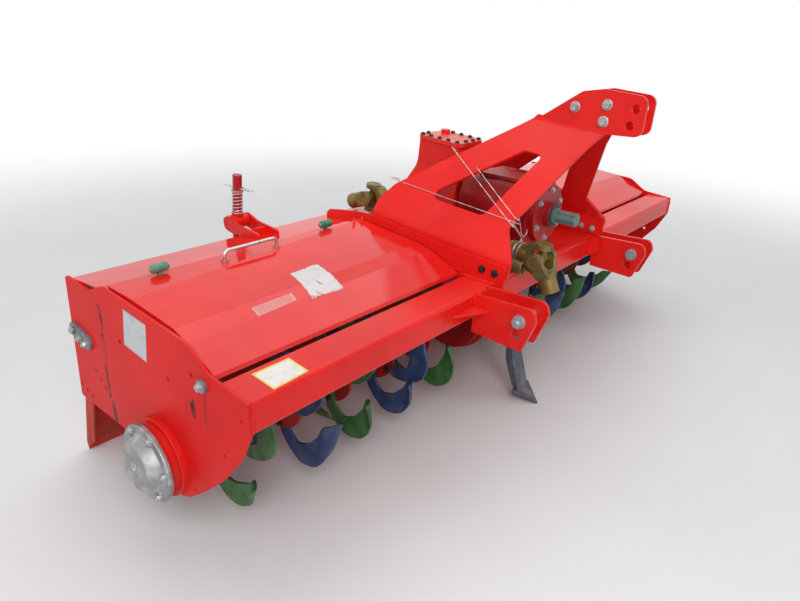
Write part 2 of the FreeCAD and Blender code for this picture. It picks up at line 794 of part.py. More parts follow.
def mast_spacers():
    """Three bolts with their spacer tubes between the two mast plates."""
    out = []
    half = MAST_HALF - MAST_T / 2
    reach = half + MAST_T + MAST_BOLT_OUT
    for y, z in MAST_BOLTS:
        tube = rod_x(y, z, MAST_SPACER_R, -half, half)
        out.append(tube.fuse(rod_x(y, z, MAST_BOLT_R - PIN_FIT, -reach, reach)))
    return Part.makeCompound(out)


def hitch_plate(x0, x1):
    """One plate of a lower hitch clevis, standing out from the beam's front face."""
    outline = [
        (BEAM_Y, BEAM_TOP),
        (-36, 44, 24),
        (-50, 10, 30),
        (-15, -90, 12),
        (BEAM_Y, BEAM_LOW - 40),
    ]
    body = along_x(outline, x0, x1)
    body = body.cut(rod_x(0, 0, HITCH_PIN_R, x0, x1))
    return body.cut(rod_x(SPARE_HOLE[0], SPARE_HOLE[1], HITCH_PIN_R, x0, x1))


def hitch_gusset():
    """Flat three-cornered plate that stiffens the outer clevis plate against the beam."""
    x = -HITCH_MID - HITCH_GAP / 2 - HITCH_T
    corners = [(x, BEAM_Y), (x - GUSSET_OUT, BEAM_Y), (x, BEAM_Y - GUSSET_FORWARD)]
    return along_z(corners, GUSSET_TOP - GUSSET_T, GUSSET_TOP)


def hexagon(y, z, r, x0, x1):
    """Hexagonal nut or bolt head with its corners on radius r."""
    corners = [(y + r * math.cos(k * math.pi / 3), z + r * math.sin(k * math.pi / 3)) for k in range(6)]
    return along_x(corners, x0, x1)


def hitch_pin():
    """Near lower hitch pin: round pin with a washer and a hexagon at both ends."""
    reach = HITCH_GAP / 2 + HITCH_T
    body = rod_x(0, 0, HITCH_PIN_R, -HITCH_MID - reach, -HITCH_MID + reach)
    for way in (-1, 1):
        x0 = -HITCH_MID + way * reach
        x1 = x0 + way * PIN_WASHER_T
        x2 = x1 + way * PIN_NUT_T
        body = body.fuse(rod_x(0, 0, PIN_WASHER_R, min(x0, x1), max(x0, x1)))
        body = body.fuse(hexagon(0, 0, PIN_NUT_R, min(x1, x2), max(x1, x2)))
    return body


def centre_floor():
    """Floor plate between the bulkheads, under the gearbox and the pedestal."""
    half = BULK_X
    corners = [(-half, BEAM_Y), (half, BEAM_Y), (half, SEAM_Y + SEAM_GAP), (-half, SEAM_Y + SEAM_GAP)]
    return along_z(corners, BEAM_TOP, FLOOR_TOP)


def gearbox():
    """Cast gearbox with round input flange, seal boss and a domed top."""
    h = BOX_HALF
    profile = [(-h, FLOOR_TOP), (h, FLOOR_TOP), (h, 210, 60), (70, BOX_TOP, 40), (-70, BOX_TOP, 40), (-h, 210, 60)]
    body = along_y(profile, BOX_Y0, BOX_Y1)
    body = body.fuse(rod_y(0, INPUT_Z, GEAR_FLANGE_R, FLANGE_FACE_Y, BOX_Y0))
    body = body.fuse(rod_y(0, INPUT_Z, SEAL_R, SEAL_Y, FLANGE_FACE_Y))
    cover = Part.makeBox(150, 170, 12, V(-75, 245, BOX_TOP - 4))
    body = body.fuse(cover)
    return body.cut(rod_y(0, INPUT_Z, INPUT_JOURNAL_R + RUN_FIT, SEAL_Y - 1, FLANGE_FACE_Y + 60))


def input_shaft():
    """Splined input shaft standing forward out of the gearbox on a thicker journal."""
    shaft = rod_y(0, INPUT_Z, INPUT_R, INPUT_TIP_Y, JOURNAL_Y)
    shaft = shaft.makeChamfer(INPUT_TIP, [e for e in shaft.Edges if abs(e.CenterOfMass.y - INPUT_TIP_Y) < 1e-3])
    depth = INPUT_R - INPUT_ROOT_R
    over = 10.0
    for k in range(SPLINES):
        cut = Part.makeBox(SPLINE_GAP, JOURNAL_Y - SPLINE_END - INPUT_TIP_Y + over, depth + over,
                           V(-SPLINE_GAP / 2, INPUT_TIP_Y - over, INPUT_ROOT_R))
        cut.rotate(V(0, 0, 0), V(0, 1, 0), SPLINE_TURN + 360.0 * k / SPLINES)
        cut.translate(V(0, 0, INPUT_Z))
        shaft = shaft.cut(cut)
    return shaft.fuse(rod_y(0, INPUT_Z, INPUT_JOURNAL_R, JOURNAL_Y, FLANGE_FACE_Y + 50))


def yoke(bored):
    """Forked yoke about the origin: ears along x, hub towards +y, bored or solid."""
    out, far = YOKE_EAR_OUT, YOKE_SHOULDER
    fork = [
        (-out, -2),
        (-out, 32, 20),
        (-YOKE_HUB_R + 2, far, 10),
        (YOKE_HUB_R - 2, far, 10),
        (out, 32, 20),
        (out, -2),
        (YOKE_EAR_IN, -2),
        (YOKE_EAR_IN, 36, 30),
        (-YOKE_EAR_IN, 36, 30),
        (-YOKE_EAR_IN, -2),
    ]
    body = along_z(fork, -YOKE_HALF_W, YOKE_HALF_W)
    for side in (-1, 1):
        ends = sorted((side * YOKE_EAR_IN, side * YOKE_BOSS_OUT))
        body = body.fuse(rod_x(0, 0, YOKE_BOSS_R, *ends))
    body = body.fuse(rod_y(0, 0, YOKE_HUB_R, far - 14, YOKE_HUB_END))
    if bored:
        body = body.cut(rod_y(0, 0, YOKE_BORE_R, far - 20, YOKE_HUB_END))
    return body


def joint(y, z, tube_turn, free_turn):
    """Cross with the tube's yoke, ears upright, and the free yoke, ears across."""
    tube_yoke = yoke(False)
    tube_yoke.rotate(V(0, 0, 0), V(0, 1, 0), 90)
    tube_yoke = tube_yoke.fuse(Part.makeCylinder(CROSS_R, 2 * YOKE_EAR_IN, V(0, 0, -YOKE_EAR_IN)))
    tube_yoke.rotate(V(0, 0, 0), V(1, 0, 0), tube_turn)
    free_yoke = yoke(True).fuse(rod_x(0, 0, CROSS_R, -YOKE_EAR_IN, YOKE_EAR_IN))
    free_yoke.rotate(V(0, 0, 0), V(1, 0, 0), free_turn)
    both_yokes = tube_yoke.fuse(free_yoke)
    both_yokes.translate(V(SHAFT_X, y, z))
    return both_yokes


def spare_shaft():
    """Drive shaft with a yoke, cross and free yoke at each end, one ear on the deck."""
    y0, z0 = SHAFT_FRONT
    y1 = SHAFT_REAR_Y
    rise = deck_z(y1 - YOKE_BOSS_R) + YOKE_BOSS_OUT - z0
    z1 = z0 + rise + SEAT_GAP + YOKE_BOSS_R * rise / (y1 - y0)
    climb = math.degrees(math.atan2(z1 - z0, y1 - y0))
    along = V(0, y1 - y0, z1 - z0).normalize()
    front, rear = V(SHAFT_X, y0, z0), V(SHAFT_X, y1, z1)
    tube = rod(front + along * YOKE_SHOULDER, rear - along * YOKE_SHOULDER, SHAFT_TUBE_R)
    ends = [joint(y0, z0, climb, FRONT_YOKE_TURN), joint(y1, z1, climb + 180, REAR_YOKE_TURN)]
    return tube.fuse(ends)


def spare_tube():
    """Loose half of a telescopic tube on the floor plate beside the drive shaft."""
    z = FLOOR_TOP + SEAT_GAP + SPARE_TUBE_R
    outer = rod_y(SPARE_TUBE_X, z, SPARE_TUBE_R, *SPARE_TUBE_Y)
    return outer.cut(rod_y(SPARE_TUBE_X, z, SPARE_TUBE_R - SPARE_TUBE_WALL, *SPARE_TUBE_Y))


def cover_z(y):
    """Top of the tower's cover, sloping down to the front."""
    return TOWER_Z0 + (TOWER_Z1 - TOWER_Z0) * (y - TOWER_Y0) / (TOWER_Y1 - TOWER_Y0)


def gear_tower():
    """Cast tower behind the gearbox, flaring into its foot on the floor and the deck."""
    y0, y1 = TOWER_Y0 + COVER_OVER, TOWER_Y1 - COVER_OVER
    half = TOWER_HALF - COVER_OVER
    foot_y0 = BOX_Y1 + 16
    rim = SEAM_Y + SEAM_GAP
    side = [
        (foot_y0, FLOOR_TOP),
        (rim, FLOOR_TOP),
        (rim, DECK_FRONT_Z),
        (TOWER_REAR, deck_z(TOWER_REAR)),
        (y1 + 62, 170, 120),
        (y1 + 4, 280, 110),
        (y1, cover_z(y1) - COVER_T),
        (y0, cover_z(y0) - COVER_T),
        (foot_y0 + 8, 250, 90),
    ]
    front = [
        (-half - 60, FLOOR_TOP),
        (half + 60, FLOOR_TOP),
        (half + 52, 120, 40),
        (half + 4, 270, 110),
        (half, TOWER_Z1),
        (-half, TOWER_Z1),
        (-half - 4, 270, 110),
        (-half - 52, 120, 40),
    ]
    return along_x(side, -2 * TOWER_HALF, 2 * TOWER_HALF).common(along_y(front, 0, 2 * TOWER_REAR))


def tower_cover():
    """Flat cover with round corners on the sloping top of the tower, with a filler plug."""
    r = 22.0
    outline = [(-TOWER_HALF, TOWER_Y0, r), (TOWER_HALF, TOWER_Y0, r), (TOWER_HALF, TOWER_Y1, r),
               (-TOWER_HALF, TOWER_Y1, r)]
    block = along_z(outline, TOWER_Z0 - 2 * COVER_T, TOWER_Z1)
    band = [
        (TOWER_Y0, cover_z(TOWER_Y0) - COVER_T),
        (TOWER_Y1, cover_z(TOWER_Y1) - COVER_T),
        (TOWER_Y1, cover_z(TOWER_Y1)),
        (TOWER_Y0, cover_z(TOWER_Y0)),
    ]
    plate = block.common(along_x(band, -TOWER_HALF, TOWER_HALF))
    x, y = 0.35 * TOWER_HALF, (TOWER_Y0 + 3 * TOWER_Y1) / 4
    plug = Part.makeCylinder(PLUG_R, PLUG_H + COVER_T / 2, V(x, y, cover_z(y) - COVER_T / 2), V(0, 0, 1))
    return plate.fuse(plug)


def point_frame():
    """Middle of the point's rear edge, its falling direction and its upward face normal."""
    fall = math.radians(POINT_FALL)
    down = V(0, -math.cos(fall), -math.sin(fall))
    face_out = V(0, -math.sin(fall), math.cos(fall))
    return V(0, POINT_TIP_Y, GROUND_Z) - down * POINT_L, down, face_out


def plough_leg():
    """Curved flat leg from the gear case down and forward, ending on the point."""
    t = LEG_T
    y, z = LEG_Y, LEG_TOP
    base, down, face_out = point_frame()
    foot = base + down * t
    bend_z = base.z + LEG_BEND
    outline = [
        (y, z),
        (y + t, z),
        (y + t, bend_z - 30, 160),
        (foot.y + t, foot.z + 2, 0),
        (foot.y - 2, foot.z - t / 2, 0),
        (y, bend_z, 170),
    ]
    leg = along_x(outline, -LEG_W / 2, LEG_W / 2)
    big = 5 * LEG_W
    corners = [(-big, -big), (big, -big), (big, big), (-big, big)]
    under = Part.Face(wire(corners, lambda u, v: base + face_out * POINT_T + V(u, 0, 0) + down * v))
    return leg.cut(under.extrude(face_out * -big))


def plough_point():
    """Arrow-shaped point under the leg's lower end, its tip on the ground."""
    base, down, face_out = point_frame()
    half = POINT_W / 2
    shape = [(-half, 0), (0, POINT_L), (half, 0), (0.5 * half, -0.12 * POINT_L), (-0.5 * half, -0.12 * POINT_L)]
    face = Part.Face(wire(shape, lambda u, v: base + V(u, 0, 0) + down * v))
    return face.extrude(face_out * POINT_T)


def board_point(down, out):
    """(y, z) of a point down the board from its hinge and out behind it."""
    p = V(0, HINGE_Y, HINGE_Z) + BOARD_DIR * down + BOARD_OUT * out
    return p.y, p.z


def trailing_board():
    """Hinged board: hinge tube, panel with a turned lower edge, side flanges, rod lugs."""
    half = INNER - BOARD_SIDE
    t = BOARD_T
    panel = [
        board_point(0, 0),
        board_point(BOARD_L - BOARD_TURN - 2, 0),
        board_point(BOARD_L - 4, -BOARD_LIP),
        board_point(BOARD_L, -BOARD_LIP + t),
        board_point(BOARD_L - BOARD_TURN, t),
        board_point(0, t),
    ]
    body = along_x(panel, -half, half)
    body = body.fuse(rod_x(HINGE_Y, HINGE_Z, HINGE_TUBE_R, -half, half))
    flange = [
        board_point(24, t),
        board_point(BOARD_L - 28, t),
        board_point(BOARD_L - 22, -14),
        board_point(BOARD_L - 60, -FLANGE_IN) + (30,),
        board_point(150, -FLANGE_IN) + (120,),
        board_point(24, -2),
    ]
    body = body.fuse([along_x(flange, -half, -half + t), along_x(flange, half - t, half)])
    down, out = ROD_EYE_DOWN, ROD_EYE_OUT
    lug = [
        board_point(down - 34, t - 1),
        board_point(down - 20, out + 17) + (18,),
        board_point(down + 20, out + 17) + (18,),
        board_point(down + 34, t - 1),
    ]
    y, z = board_point(down, out)
    for side in (NEAR, FAR):
        for k in (-1, 1):
            x0 = side * ROD_X + k * LUG_HALF - LUG_T / 2
            ear = along_x(lug, x0, x0 + LUG_T)
            body = body.fuse(ear.cut(rod_x(y, z, EYE_HOLE_R, x0, x0 + LUG_T)))
    return body.cut(rod_x(HINGE_Y, HINGE_Z, HINGE_PIN_R + PIN_FIT, -half, half))


def hinge_lug():
    """Galvanised oval plate outside the near side plate with the board's hinge pin."""
    x0 = -HALF - LUG_PLATE_T
    a = V(0, HINGE_Y, HINGE_Z)
    b = a - V(0, math.cos(LUG_TILT), math.sin(LUG_TILT)) * OVAL_L
    r = OVAL_R
    plate = rod_x(a.y, a.z, r, x0, -HALF).fuse(rod_x(b.y, b.z, r, x0, -HALF))
    n = V(0, -math.sin(LUG_TILT), math.cos(LUG_TILT)) * r
    strip = Part.makePolygon([V(x0, p.y, p.z) for p in (a + n, b + n, b - n, a - n, a + n)])
    plate = plate.fuse(Part.Face(strip).extrude(V(LUG_PLATE_T, 0, 0)))
    pin = rod_x(HINGE_Y, HINGE_Z, HINGE_PIN_R, x0 - 8, -INNER + BOARD_SIDE + 60)
    return plate.fuse(pin)


def spring_bracket():
    """Two ears on the rear deck that carry the rod's trunnion behind the deck's edge."""
    foot = 800.0
    ear = [
        (foot, deck_z(foot)),
        (foot, deck_z(foot) + 16, 10),
        (DECK_REAR_Y, deck_z(DECK_REAR_Y) + 36, 60),
        (TRUN_Y - 6, TRUN_Z + 26, 22),
        (TRUN_Y + 24, TRUN_Z + 14, 18),
        (TRUN_Y + 14, TRUN_Z - 22, 18),
        (DECK_REAR_Y, deck_z(DECK_REAR_Y) - 6, 20),
        (DECK_REAR_Y, deck_z(DECK_REAR_Y), 0),
    ]
    out = []
    for k in (-1, 1):
        x0 = -ROD_X + k * (TRUN_W / 2 + EAR_T / 2 + 1) - EAR_T / 2
        out.append(along_x(ear, x0, x0 + EAR_T).cut(rod_x(TRUN_Y, TRUN_Z, TRUN_PIN_R + RUN_FIT, x0, x0 + EAR_T)))
    y = 850.0
    x0, x1 = -ROD_X - TRUN_W / 2 - 1, -ROD_X + TRUN_W / 2 + 1
    web = along_x([(y, deck_z(y)), (y, deck_z(y) + 24), (y + 8, deck_z(y + 8) + 24), (y + 8, deck_z(y + 8))], x0, x1)
    return out[0].fuse([out[1], web])


def trunnion():
    """Block that swings between the ears and lets the rod slide through."""
    body = rod_x(TRUN_Y, TRUN_Z, TRUN_R, -ROD_X - TRUN_W / 2, -ROD_X + TRUN_W / 2)
    body = body.fuse(rod_x(TRUN_Y, TRUN_Z, TRUN_PIN_R, -ROD_X - TRUN_W / 2 - EAR_T, -ROD_X + TRUN_W / 2 + EAR_T))
    c = V(-ROD_X, TRUN_Y, TRUN_Z)
    seat = rod(c, c + ROD_UP * (TRUN_R + 6), SPRING_R)
    bore = rod(c - ROD_UP * 60, c + ROD_UP * 60, ROD_R + ROD_FIT)
    return body.fuse(seat).cut(bore)


def spring_rod():
    """Rod from the board's lugs up through the trunnion, with its eye and clip collar."""
    x = -ROD_X
    eye = V(x, EYE.y, EYE.z)
    top = eye + ROD_UP * ROD_LENGTH
    body = rod(eye, top, ROD_R)
    body = body.fuse(rod_x(EYE.y, EYE.z, EYE_R, x - LUG_HALF + LUG_T / 2 + 3, x + LUG_HALF - LUG_T / 2 - 3))
    body = body.fuse(rod_x(EYE.y, EYE.z, EYE_PIN_R, x - LUG_HALF - 10, x + LUG_HALF + 10))
    return body


def clip_point():
    """Middle of the clip through the near rod, above the spring."""
    c = V(-ROD_X, TRUN_Y, TRUN_Z)
    return c + ROD_UP * (TRUN_R + 6 + SPRING_FREE + 5)


def rod_clip():
    """Wire clip through the rod, with its washer on top of the spring."""
    c = clip_point()
    washer = rod(c - ROD_UP * 5, c - ROD_UP * 1, SPRING_R + 1).cut(rod(c - ROD_UP * 9, c + ROD_UP * 9, ROD_R))
    return washer


def coil_spring():
    """Compression spring between the trunnion and the clip's washer."""
    c = V(-ROD_X, TRUN_Y, TRUN_Z)
    base = c + ROD_UP * (TRUN_R + 6)
    outer = rod(base, base + ROD_UP * SPRING_FREE, SPRING_R)
    return outer.cut(rod(base - ROD_UP, base + ROD_UP * (SPRING_FREE + 1), SPRING_R - 2 * SPRING_WIRE))


def both(shape):
    """A near-side piece and its far-side twin, as one node."""
    twin = mirrored(shape)
    return Part.makeCompound(shape.Solids + twin.Solids)


def build():
    """Every piece with its file name."""
    inner = -HITCH_MID + HITCH_GAP / 2
    outer = -HITCH_MID - HITCH_GAP / 2
    clevis = [hitch_plate(inner, inner + HITCH_T), hitch_plate(outer - HITCH_T, outer).fuse(hitch_gusset())]
    singles = {
        "front_beam": front_beam(),
        "rear_deck": rear_deck(),
        "centre_floor": centre_floor(),
        "gearbox": gearbox(),
        "gear_case": gear_case(),
        "input_shaft": input_shaft(),
        "gear_tower": gear_tower(),
        "tower_cover": tower_cover(),
        "spare_shaft": spare_shaft(),
        "spare_tube": spare_tube(),
        "mast_spacers": mast_spacers(),
        "plough_leg": plough_leg(),
        "plough_point": plough_point(),
        "trailing_board": trailing_board(),
        "bearing_housings": both(bearing_housing()),
        "bearing_caps": both(bearing_cap()),
        "lid_bolts": both(lid_bolts()),
        "hitch_pins": both(hitch_pin()),
        "hinge_lugs": both(hinge_lug()),
        "spring_brackets": both(spring_bracket()),
    }
    pairs = {
        "side_plate": side_plate(),
        "rotor_shaft": rotor_tube(),
        "lid": lid(),
        "lid_handle": lid_handle(),
        "lid_knobs": lid_knobs(),
        "bulkhead": bulkhead(),
        "mast_plate": mast_plate(),
        "hitch_clevis": Part.makeCompound(clevis),
        "trunnion": trunnion(),
        "spring_rod": spring_rod(),
        "rod_clip": rod_clip(),
        "coil_spring": coil_spring(),
    }
    pieces = dict(singles)
    for name, shape in pairs.items():
        pieces[name + "_near"] = shape
        pieces[name + "_far"] = mirrored(shape)
    for colour, start in (("green", 0), ("blue", 1)):
        row = blades(start)
        pieces["blades_" + colour + "_near"] = row
        pieces["blades_" + colour + "_far"] = mirrored(row)
    return pieces


os.makedirs("parts", exist_ok=True)
for piece_name, piece in build().items():
    export(piece_name, piece)
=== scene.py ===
import math

import bmesh
import bpy
from mathutils import Matrix, Vector
from mathutils.bvhtree import BVHTree


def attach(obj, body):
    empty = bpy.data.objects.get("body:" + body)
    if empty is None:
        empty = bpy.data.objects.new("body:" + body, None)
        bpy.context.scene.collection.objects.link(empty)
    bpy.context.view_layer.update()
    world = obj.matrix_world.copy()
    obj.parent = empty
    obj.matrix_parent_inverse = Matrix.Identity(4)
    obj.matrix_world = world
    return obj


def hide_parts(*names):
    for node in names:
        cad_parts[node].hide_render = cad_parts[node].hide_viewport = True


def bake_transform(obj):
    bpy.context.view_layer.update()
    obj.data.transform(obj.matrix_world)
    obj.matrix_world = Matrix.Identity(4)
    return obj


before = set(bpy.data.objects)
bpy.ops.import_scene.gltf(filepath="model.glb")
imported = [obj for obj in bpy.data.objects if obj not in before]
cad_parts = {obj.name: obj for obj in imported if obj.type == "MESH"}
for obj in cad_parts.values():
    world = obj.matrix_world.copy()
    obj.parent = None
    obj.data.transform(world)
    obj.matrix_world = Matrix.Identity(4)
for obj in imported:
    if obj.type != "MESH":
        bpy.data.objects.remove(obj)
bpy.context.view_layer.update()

# The camera stands at chest height off the near front corner and looks down on
# the machine through the wide lens of a phone, as the photograph was taken.
LENS_PIXELS = 620.2
FRAME_PIXELS = 800.0
CAMERA_PLACE = Vector((-1.874, -1.1802, 1.259))
YAW, PITCH, ROLL = (math.radians(a) for a in (51.29, 23.68, 3.05))
ahead = Vector((math.sin(YAW) * math.cos(PITCH), math.cos(YAW) * math.cos(PITCH), -math.sin(PITCH)))
level_right = Vector((math.cos(YAW), -math.sin(YAW), 0.0))
level_up = level_right.cross(ahead)
right = level_right * math.cos(ROLL) + level_up * math.sin(ROLL)
up = level_up * math.cos(ROLL) - level_right * math.sin(ROLL)
lens = bpy.data.cameras.new("camera")
lens.sensor_width = 36.0
lens.lens = LENS_PIXELS / FRAME_PIXELS * lens.sensor_width
camera = bpy.data.objects.new("camera", lens)
bpy.context.collection.objects.link(camera)
camera.matrix_world = Matrix((
    (right.x, up.x, -ahead.x, CAMERA_PLACE.x),
    (right.y, up.y, -ahead.y, CAMERA_PLACE.y),
    (right.z, up.z, -ahead.z, CAMERA_PLACE.z),
    (0, 0, 0, 1),
))
bpy.context.scene.camera = camera
bpy.context.scene.view_settings.view_transform = "Standard"


# Red paint: the whole weldment is sprayed with one thick coat of gloss red, a little
# uneven, with soft edges, yard dust on what faces up and dirt where it nears the soil.
class Shade:
    """One socket of a finish. Sums and products with it add Math nodes."""

    def __init__(self, tree, socket):
        self.tree, self.socket = tree, socket

    def node(self, kind, settings=None, inputs=None, out=0):
        """Adds a node: its settings first, then the values or links of its sockets."""
        made = self.tree.nodes.new(kind)
        for name, value in (settings or {}).items():
            setattr(made, name, value)
        for key, value in (inputs or {}).items():
            if isinstance(value, Shade):
                self.tree.links.new(value.socket, made.inputs[key])
            else:
                made.inputs[key].default_value = value
        return Shade(self.tree, made.outputs[out])

    def maths(self, operation, first, second):
        return self.node("ShaderNodeMath", {"operation": operation}, {0: first, 1: second})

    def __add__(self, other):
        return self.maths("ADD", self, other)

    def __sub__(self, other):
        return self.maths("SUBTRACT", self, other)

    def __mul__(self, other):
        return self.maths("MULTIPLY", self, other)

    def __truediv__(self, other):
        return self.maths("DIVIDE", self, other)

    def __radd__(self, other):
        return self.maths("ADD", other, self)

    def __rsub__(self, other):
        return self.maths("SUBTRACT", other, self)

    def __pow__(self, other):
        return self.maths("POWER", self, other)

    def least(self, other):
        return self.maths("MINIMUM", self, other)

    def most(self, other):
        return self.maths("MAXIMUM", self, other)

    def between(self, low, high):
        """0 up to low, 1 from high on, smooth in between."""
        return self.node("ShaderNodeMapRange", {"interpolation_type": "SMOOTHSTEP"},
                         {"Value": self, "From Min": low, "From Max": high})

    def mix(self, under, over):
        """The colour under, covered by the colour over where this is 1. The colours of a
        Mix node are its sockets 6 and 7, and its output 2."""
        return self.node("ShaderNodeMix", {"data_type": "RGBA"}, {0: self, 6: under, 7: over}, out=2)

    def part(self, axis):
        """One number of a vector: 0, 1 or 2."""
        return self.node("ShaderNodeSeparateXYZ", {}, {0: self}, out=axis)

    def cloud(self, size, detail, stretch=(1.0, 1.0, 1.0)):
        """Cloudy values about 0.5, in patches of this size in metres."""
        place = self.node("ShaderNodeMapping", {}, {"Vector": self, "Scale": stretch})
        return place.node("ShaderNodeTexNoise", {}, {"Vector": place, "Scale": 1 / size, "Detail": detail})

    def bump(self, depth, under=None):
        """A normal from this height; depth is in metres."""
        links = {"Height": self, "Distance": depth}
        if under is not None:
            links["Normal"] = under
        return self.node("ShaderNodeBump", {}, links)

    def soft_edges(self, radius):
        """The normal with every edge rounded by this radius."""
        return self.node("ShaderNodeBevel", {"samples": 6}, {"Radius": radius})

    def edges(self, radius):
        """1 on the outer few millimetres of corners, 0 on flats."""
        flat = self.node("ShaderNodeNewGeometry", out="Normal")
        alike = self.node("ShaderNodeVectorMath", {"operation": "DOT_PRODUCT"},
                          {0: self.soft_edges(radius), 1: flat}, out="Value")
        return (1 - alike).between(0.02, 0.22)

    def facing_up(self):
        """1 on level tops, 0 on walls and undersides."""
        return self.node("ShaderNodeNewGeometry", out="Normal").part(2).between(0.25, 0.95)


def new_finish(name, **uniform):
    """A finish with its uniform sockets set; gives it, its shader and the place on the object."""
    finish = bpy.data.materials.new(name)
    finish.use_nodes = True
    shader = finish.node_tree.nodes["Principled BSDF"]
    for socket, value in uniform.items():
        shader.inputs[socket.replace("_", " ")].default_value = value
    where = finish.node_tree.nodes.new("ShaderNodeTexCoord")
    return finish, shader, Shade(finish.node_tree, where.outputs["Object"])


def lay_on(shader, **varying):
    """Feeds the shader's sockets that change over the surface."""
    for socket, value in varying.items():
        value.tree.links.new(value.socket, shader.inputs[socket.replace("_", " ")])


def wear(finish, *nodes):
    """Gives CAD nodes a finish."""
    for name in nodes:
        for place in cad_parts[name].material_slots:
            place.material = finish


FRESH_RED = (0.80, 0.0150, 0.0100, 1)
DEEP_RED = (0.66, 0.0085, 0.0080, 1)
BLEACHED_RED = (0.82, 0.032, 0.026, 1)
BARE_STEEL = (0.16, 0.12, 0.10, 1)
YARD_DUST = (0.46, 0.27, 0.20, 1)
SOIL = (0.16, 0.085, 0.05, 1)
OIL_AND_FOLD_SHADE = (0.045, 0.012, 0.010, 1)


def red_paint(name, gloss, shine, dust, soil, peel=0.05, stains_and_fold_shade=()):
    """Gloss is the roughness of clean paint, shine how strongly it mirrors, dust how much
    lies on tops, soil how much has splashed up from below and peel how far the spray has
    crept together. A dark mark, an oil stain or a thin line of painted fold shade, is
    (x, y, z, half length, half height) in metres."""
    finish, shader, place = new_finish(
        name, Specular_IOR_Level=0.12 + 0.3 * shine, Coat_Weight=0.25 * shine, Coat_Roughness=0.04)
    broad = place.cloud(0.55, 4).between(0.36, 0.66)
    patchy = place.cloud(0.09, 5).between(0.42, 0.72)
    colour = broad.mix(FRESH_RED, DEEP_RED)
    colour = (patchy * 0.22).mix(colour, BLEACHED_RED)
    grains = place.cloud(0.0040, 2).between(0.66, 0.74)
    film = place.cloud(0.16, 6).between(0.44, 0.74)
    lying = place.facing_up() * (film * 0.22 + grains * 0.25) * dust
    colour = lying.mix(colour, YARD_DUST)
    low = 1 - place.part(2).between(0.0, 0.46)
    runs = place.cloud(0.022, 5, (1.0, 1.0, 0.22)).between(0.40, 0.72)
    splashed = low ** 1.6 * (0.25 + runs * 0.6 + place.cloud(0.005, 3).between(0.52, 0.66) * 0.5) * soil
    colour = splashed.mix(colour, SOIL)
    scratch = place.cloud(0.05, 2, (1.0, 34.0, 22.0)).between(0.71, 0.75)
    scratch = scratch * place.cloud(0.2, 2).between(0.52, 0.62)
    colour = (scratch * 0.4).mix(colour, BLEACHED_RED)
    worn = place.edges(0.0016) * place.cloud(0.018, 5).between(0.58, 0.68)
    chips = place.cloud(0.0045, 1).between(0.735, 0.75) * place.cloud(0.15, 2).between(0.48, 0.60)
    colour = (chips * 0.8).mix(colour, OIL_AND_FOLD_SHADE)
    # dark marks: oil stains, and on the side plates thin lines of painted shade along folds
    for x, y, z, half_length, half_height in stains_and_fold_shade:
        off = ((place.part(1) - y) / half_length) ** 2 + ((place.part(2) - z) / half_height) ** 2
        ragged = (place.cloud(0.010, 5, (1, 2.5, 0.7)) - 0.5) * 3.2
        mark = (1 - (off + ragged).between(0.25, 1.35)) * (1 - place.part(0).between(x, x + 0.001))
        colour = (mark * 0.86).mix(colour, OIL_AND_FOLD_SHADE)
    colour = worn.mix(colour, BARE_STEEL)
    rough = gloss + patchy * 0.06 + lying * 0.6 + splashed * 0.5 + worn * 0.2
    skin_height = place.cloud(0.0032, 2) * peel + place.cloud(0.13, 1) * 0.8
    normal = skin_height.bump(0.0022, place.soft_edges(0.0013))
    lay_on(shader, Base_Color=colour, Roughness=rough, Normal=normal)
    return finish


frame_red = red_paint("frame_red", 0.27, 0.3, 0.35, 0.6)
lid_red = red_paint("lid_red", 0.08, 0.5, 0.2, 0.3, 0.02)
cover_red = red_paint("cover_red", 0.20, 0.6, 2.6, 0.3)
low_red = red_paint("low_red", 0.36, 0.1, 0.9, 1.0)
wear(frame_red, "front_beam", "bulkhead_near", "bulkhead_far", "mast_plate_near", "mast_plate_far",
     "hitch_clevis_near", "hitch_clevis_far", "gear_tower")
wear(lid_red, "lid_near", "lid_far", "rear_deck")
wear(cover_red, "tower_cover")
wear(low_red, "trailing_board", "bearing_housings", "centre_floor")


# Weld beads: the plates are joined by hand-laid fillets, rippled every few millimetres
# and painted over with the rest.
HITCH_Y, HITCH_Z = 469.206, 534.0            # mm from the ground's origin to the hitch pins


def at(x, y, z):
    """A place measured in mm from midway between the lower hitch pins, y rearwards, z up."""
    return Vector((x, y - HITCH_Y, z + HITCH_Z)) / 1000


def ring(bm, middle, across, other, radius, sides, turn=0.0):
    """One ring of points about a middle."""
    angles = (turn + 2 * math.pi * i / sides for i in range(sides))
    return [bm.verts.new(middle + (across * math.cos(a) + other * math.sin(a)) * radius) for a in angles]


def skin(bm, rings, closed_ends=True):
    """Faces between rings of equal count, with flat ends."""
    for low, high in zip(rings, rings[1:]):
        for i in range(len(low)):
            j = (i + 1) % len(low)
            bm.faces.new((low[i], low[j], high[j], high[i]))
    if closed_ends:
        bm.faces.new(reversed(rings[0]))
        bm.faces.new(rings[-1])


def bar(bm, points, radius, sides=8, closed=False):
    """A round bar along points; the radius is one value or one for each point."""
    radii = radius if isinstance(radius, list) else [radius] * len(points)
    rings, across = [], None
    for i, point in enumerate(points):
        before = points[i - 1] if i or closed else point
        after = points[(i + 1) % len(points)] if i < len(points) - 1 or closed else point
        along = (after - before).normalized()
        across = along.orthogonal() if across is None else across - along * across.dot(along)
        across.normalize()
        rings.append(ring(bm, point, across, along.cross(across), radii[i], sides))
    skin(bm, rings + rings[:1] if closed else rings, not closed)


def smooth_object(name, bm, finish):
    """An object of the built faces, shaded smooth."""
    mesh = bpy.data.meshes.new(name)
    bm.to_mesh(mesh)
    bm.free()
    for face in mesh.polygons:
        face.use_smooth = True
    mesh.materials.append(finish)
    made = bpy.data.objects.new(name, mesh)
    bpy.context.collection.objects.link(made)
    return made


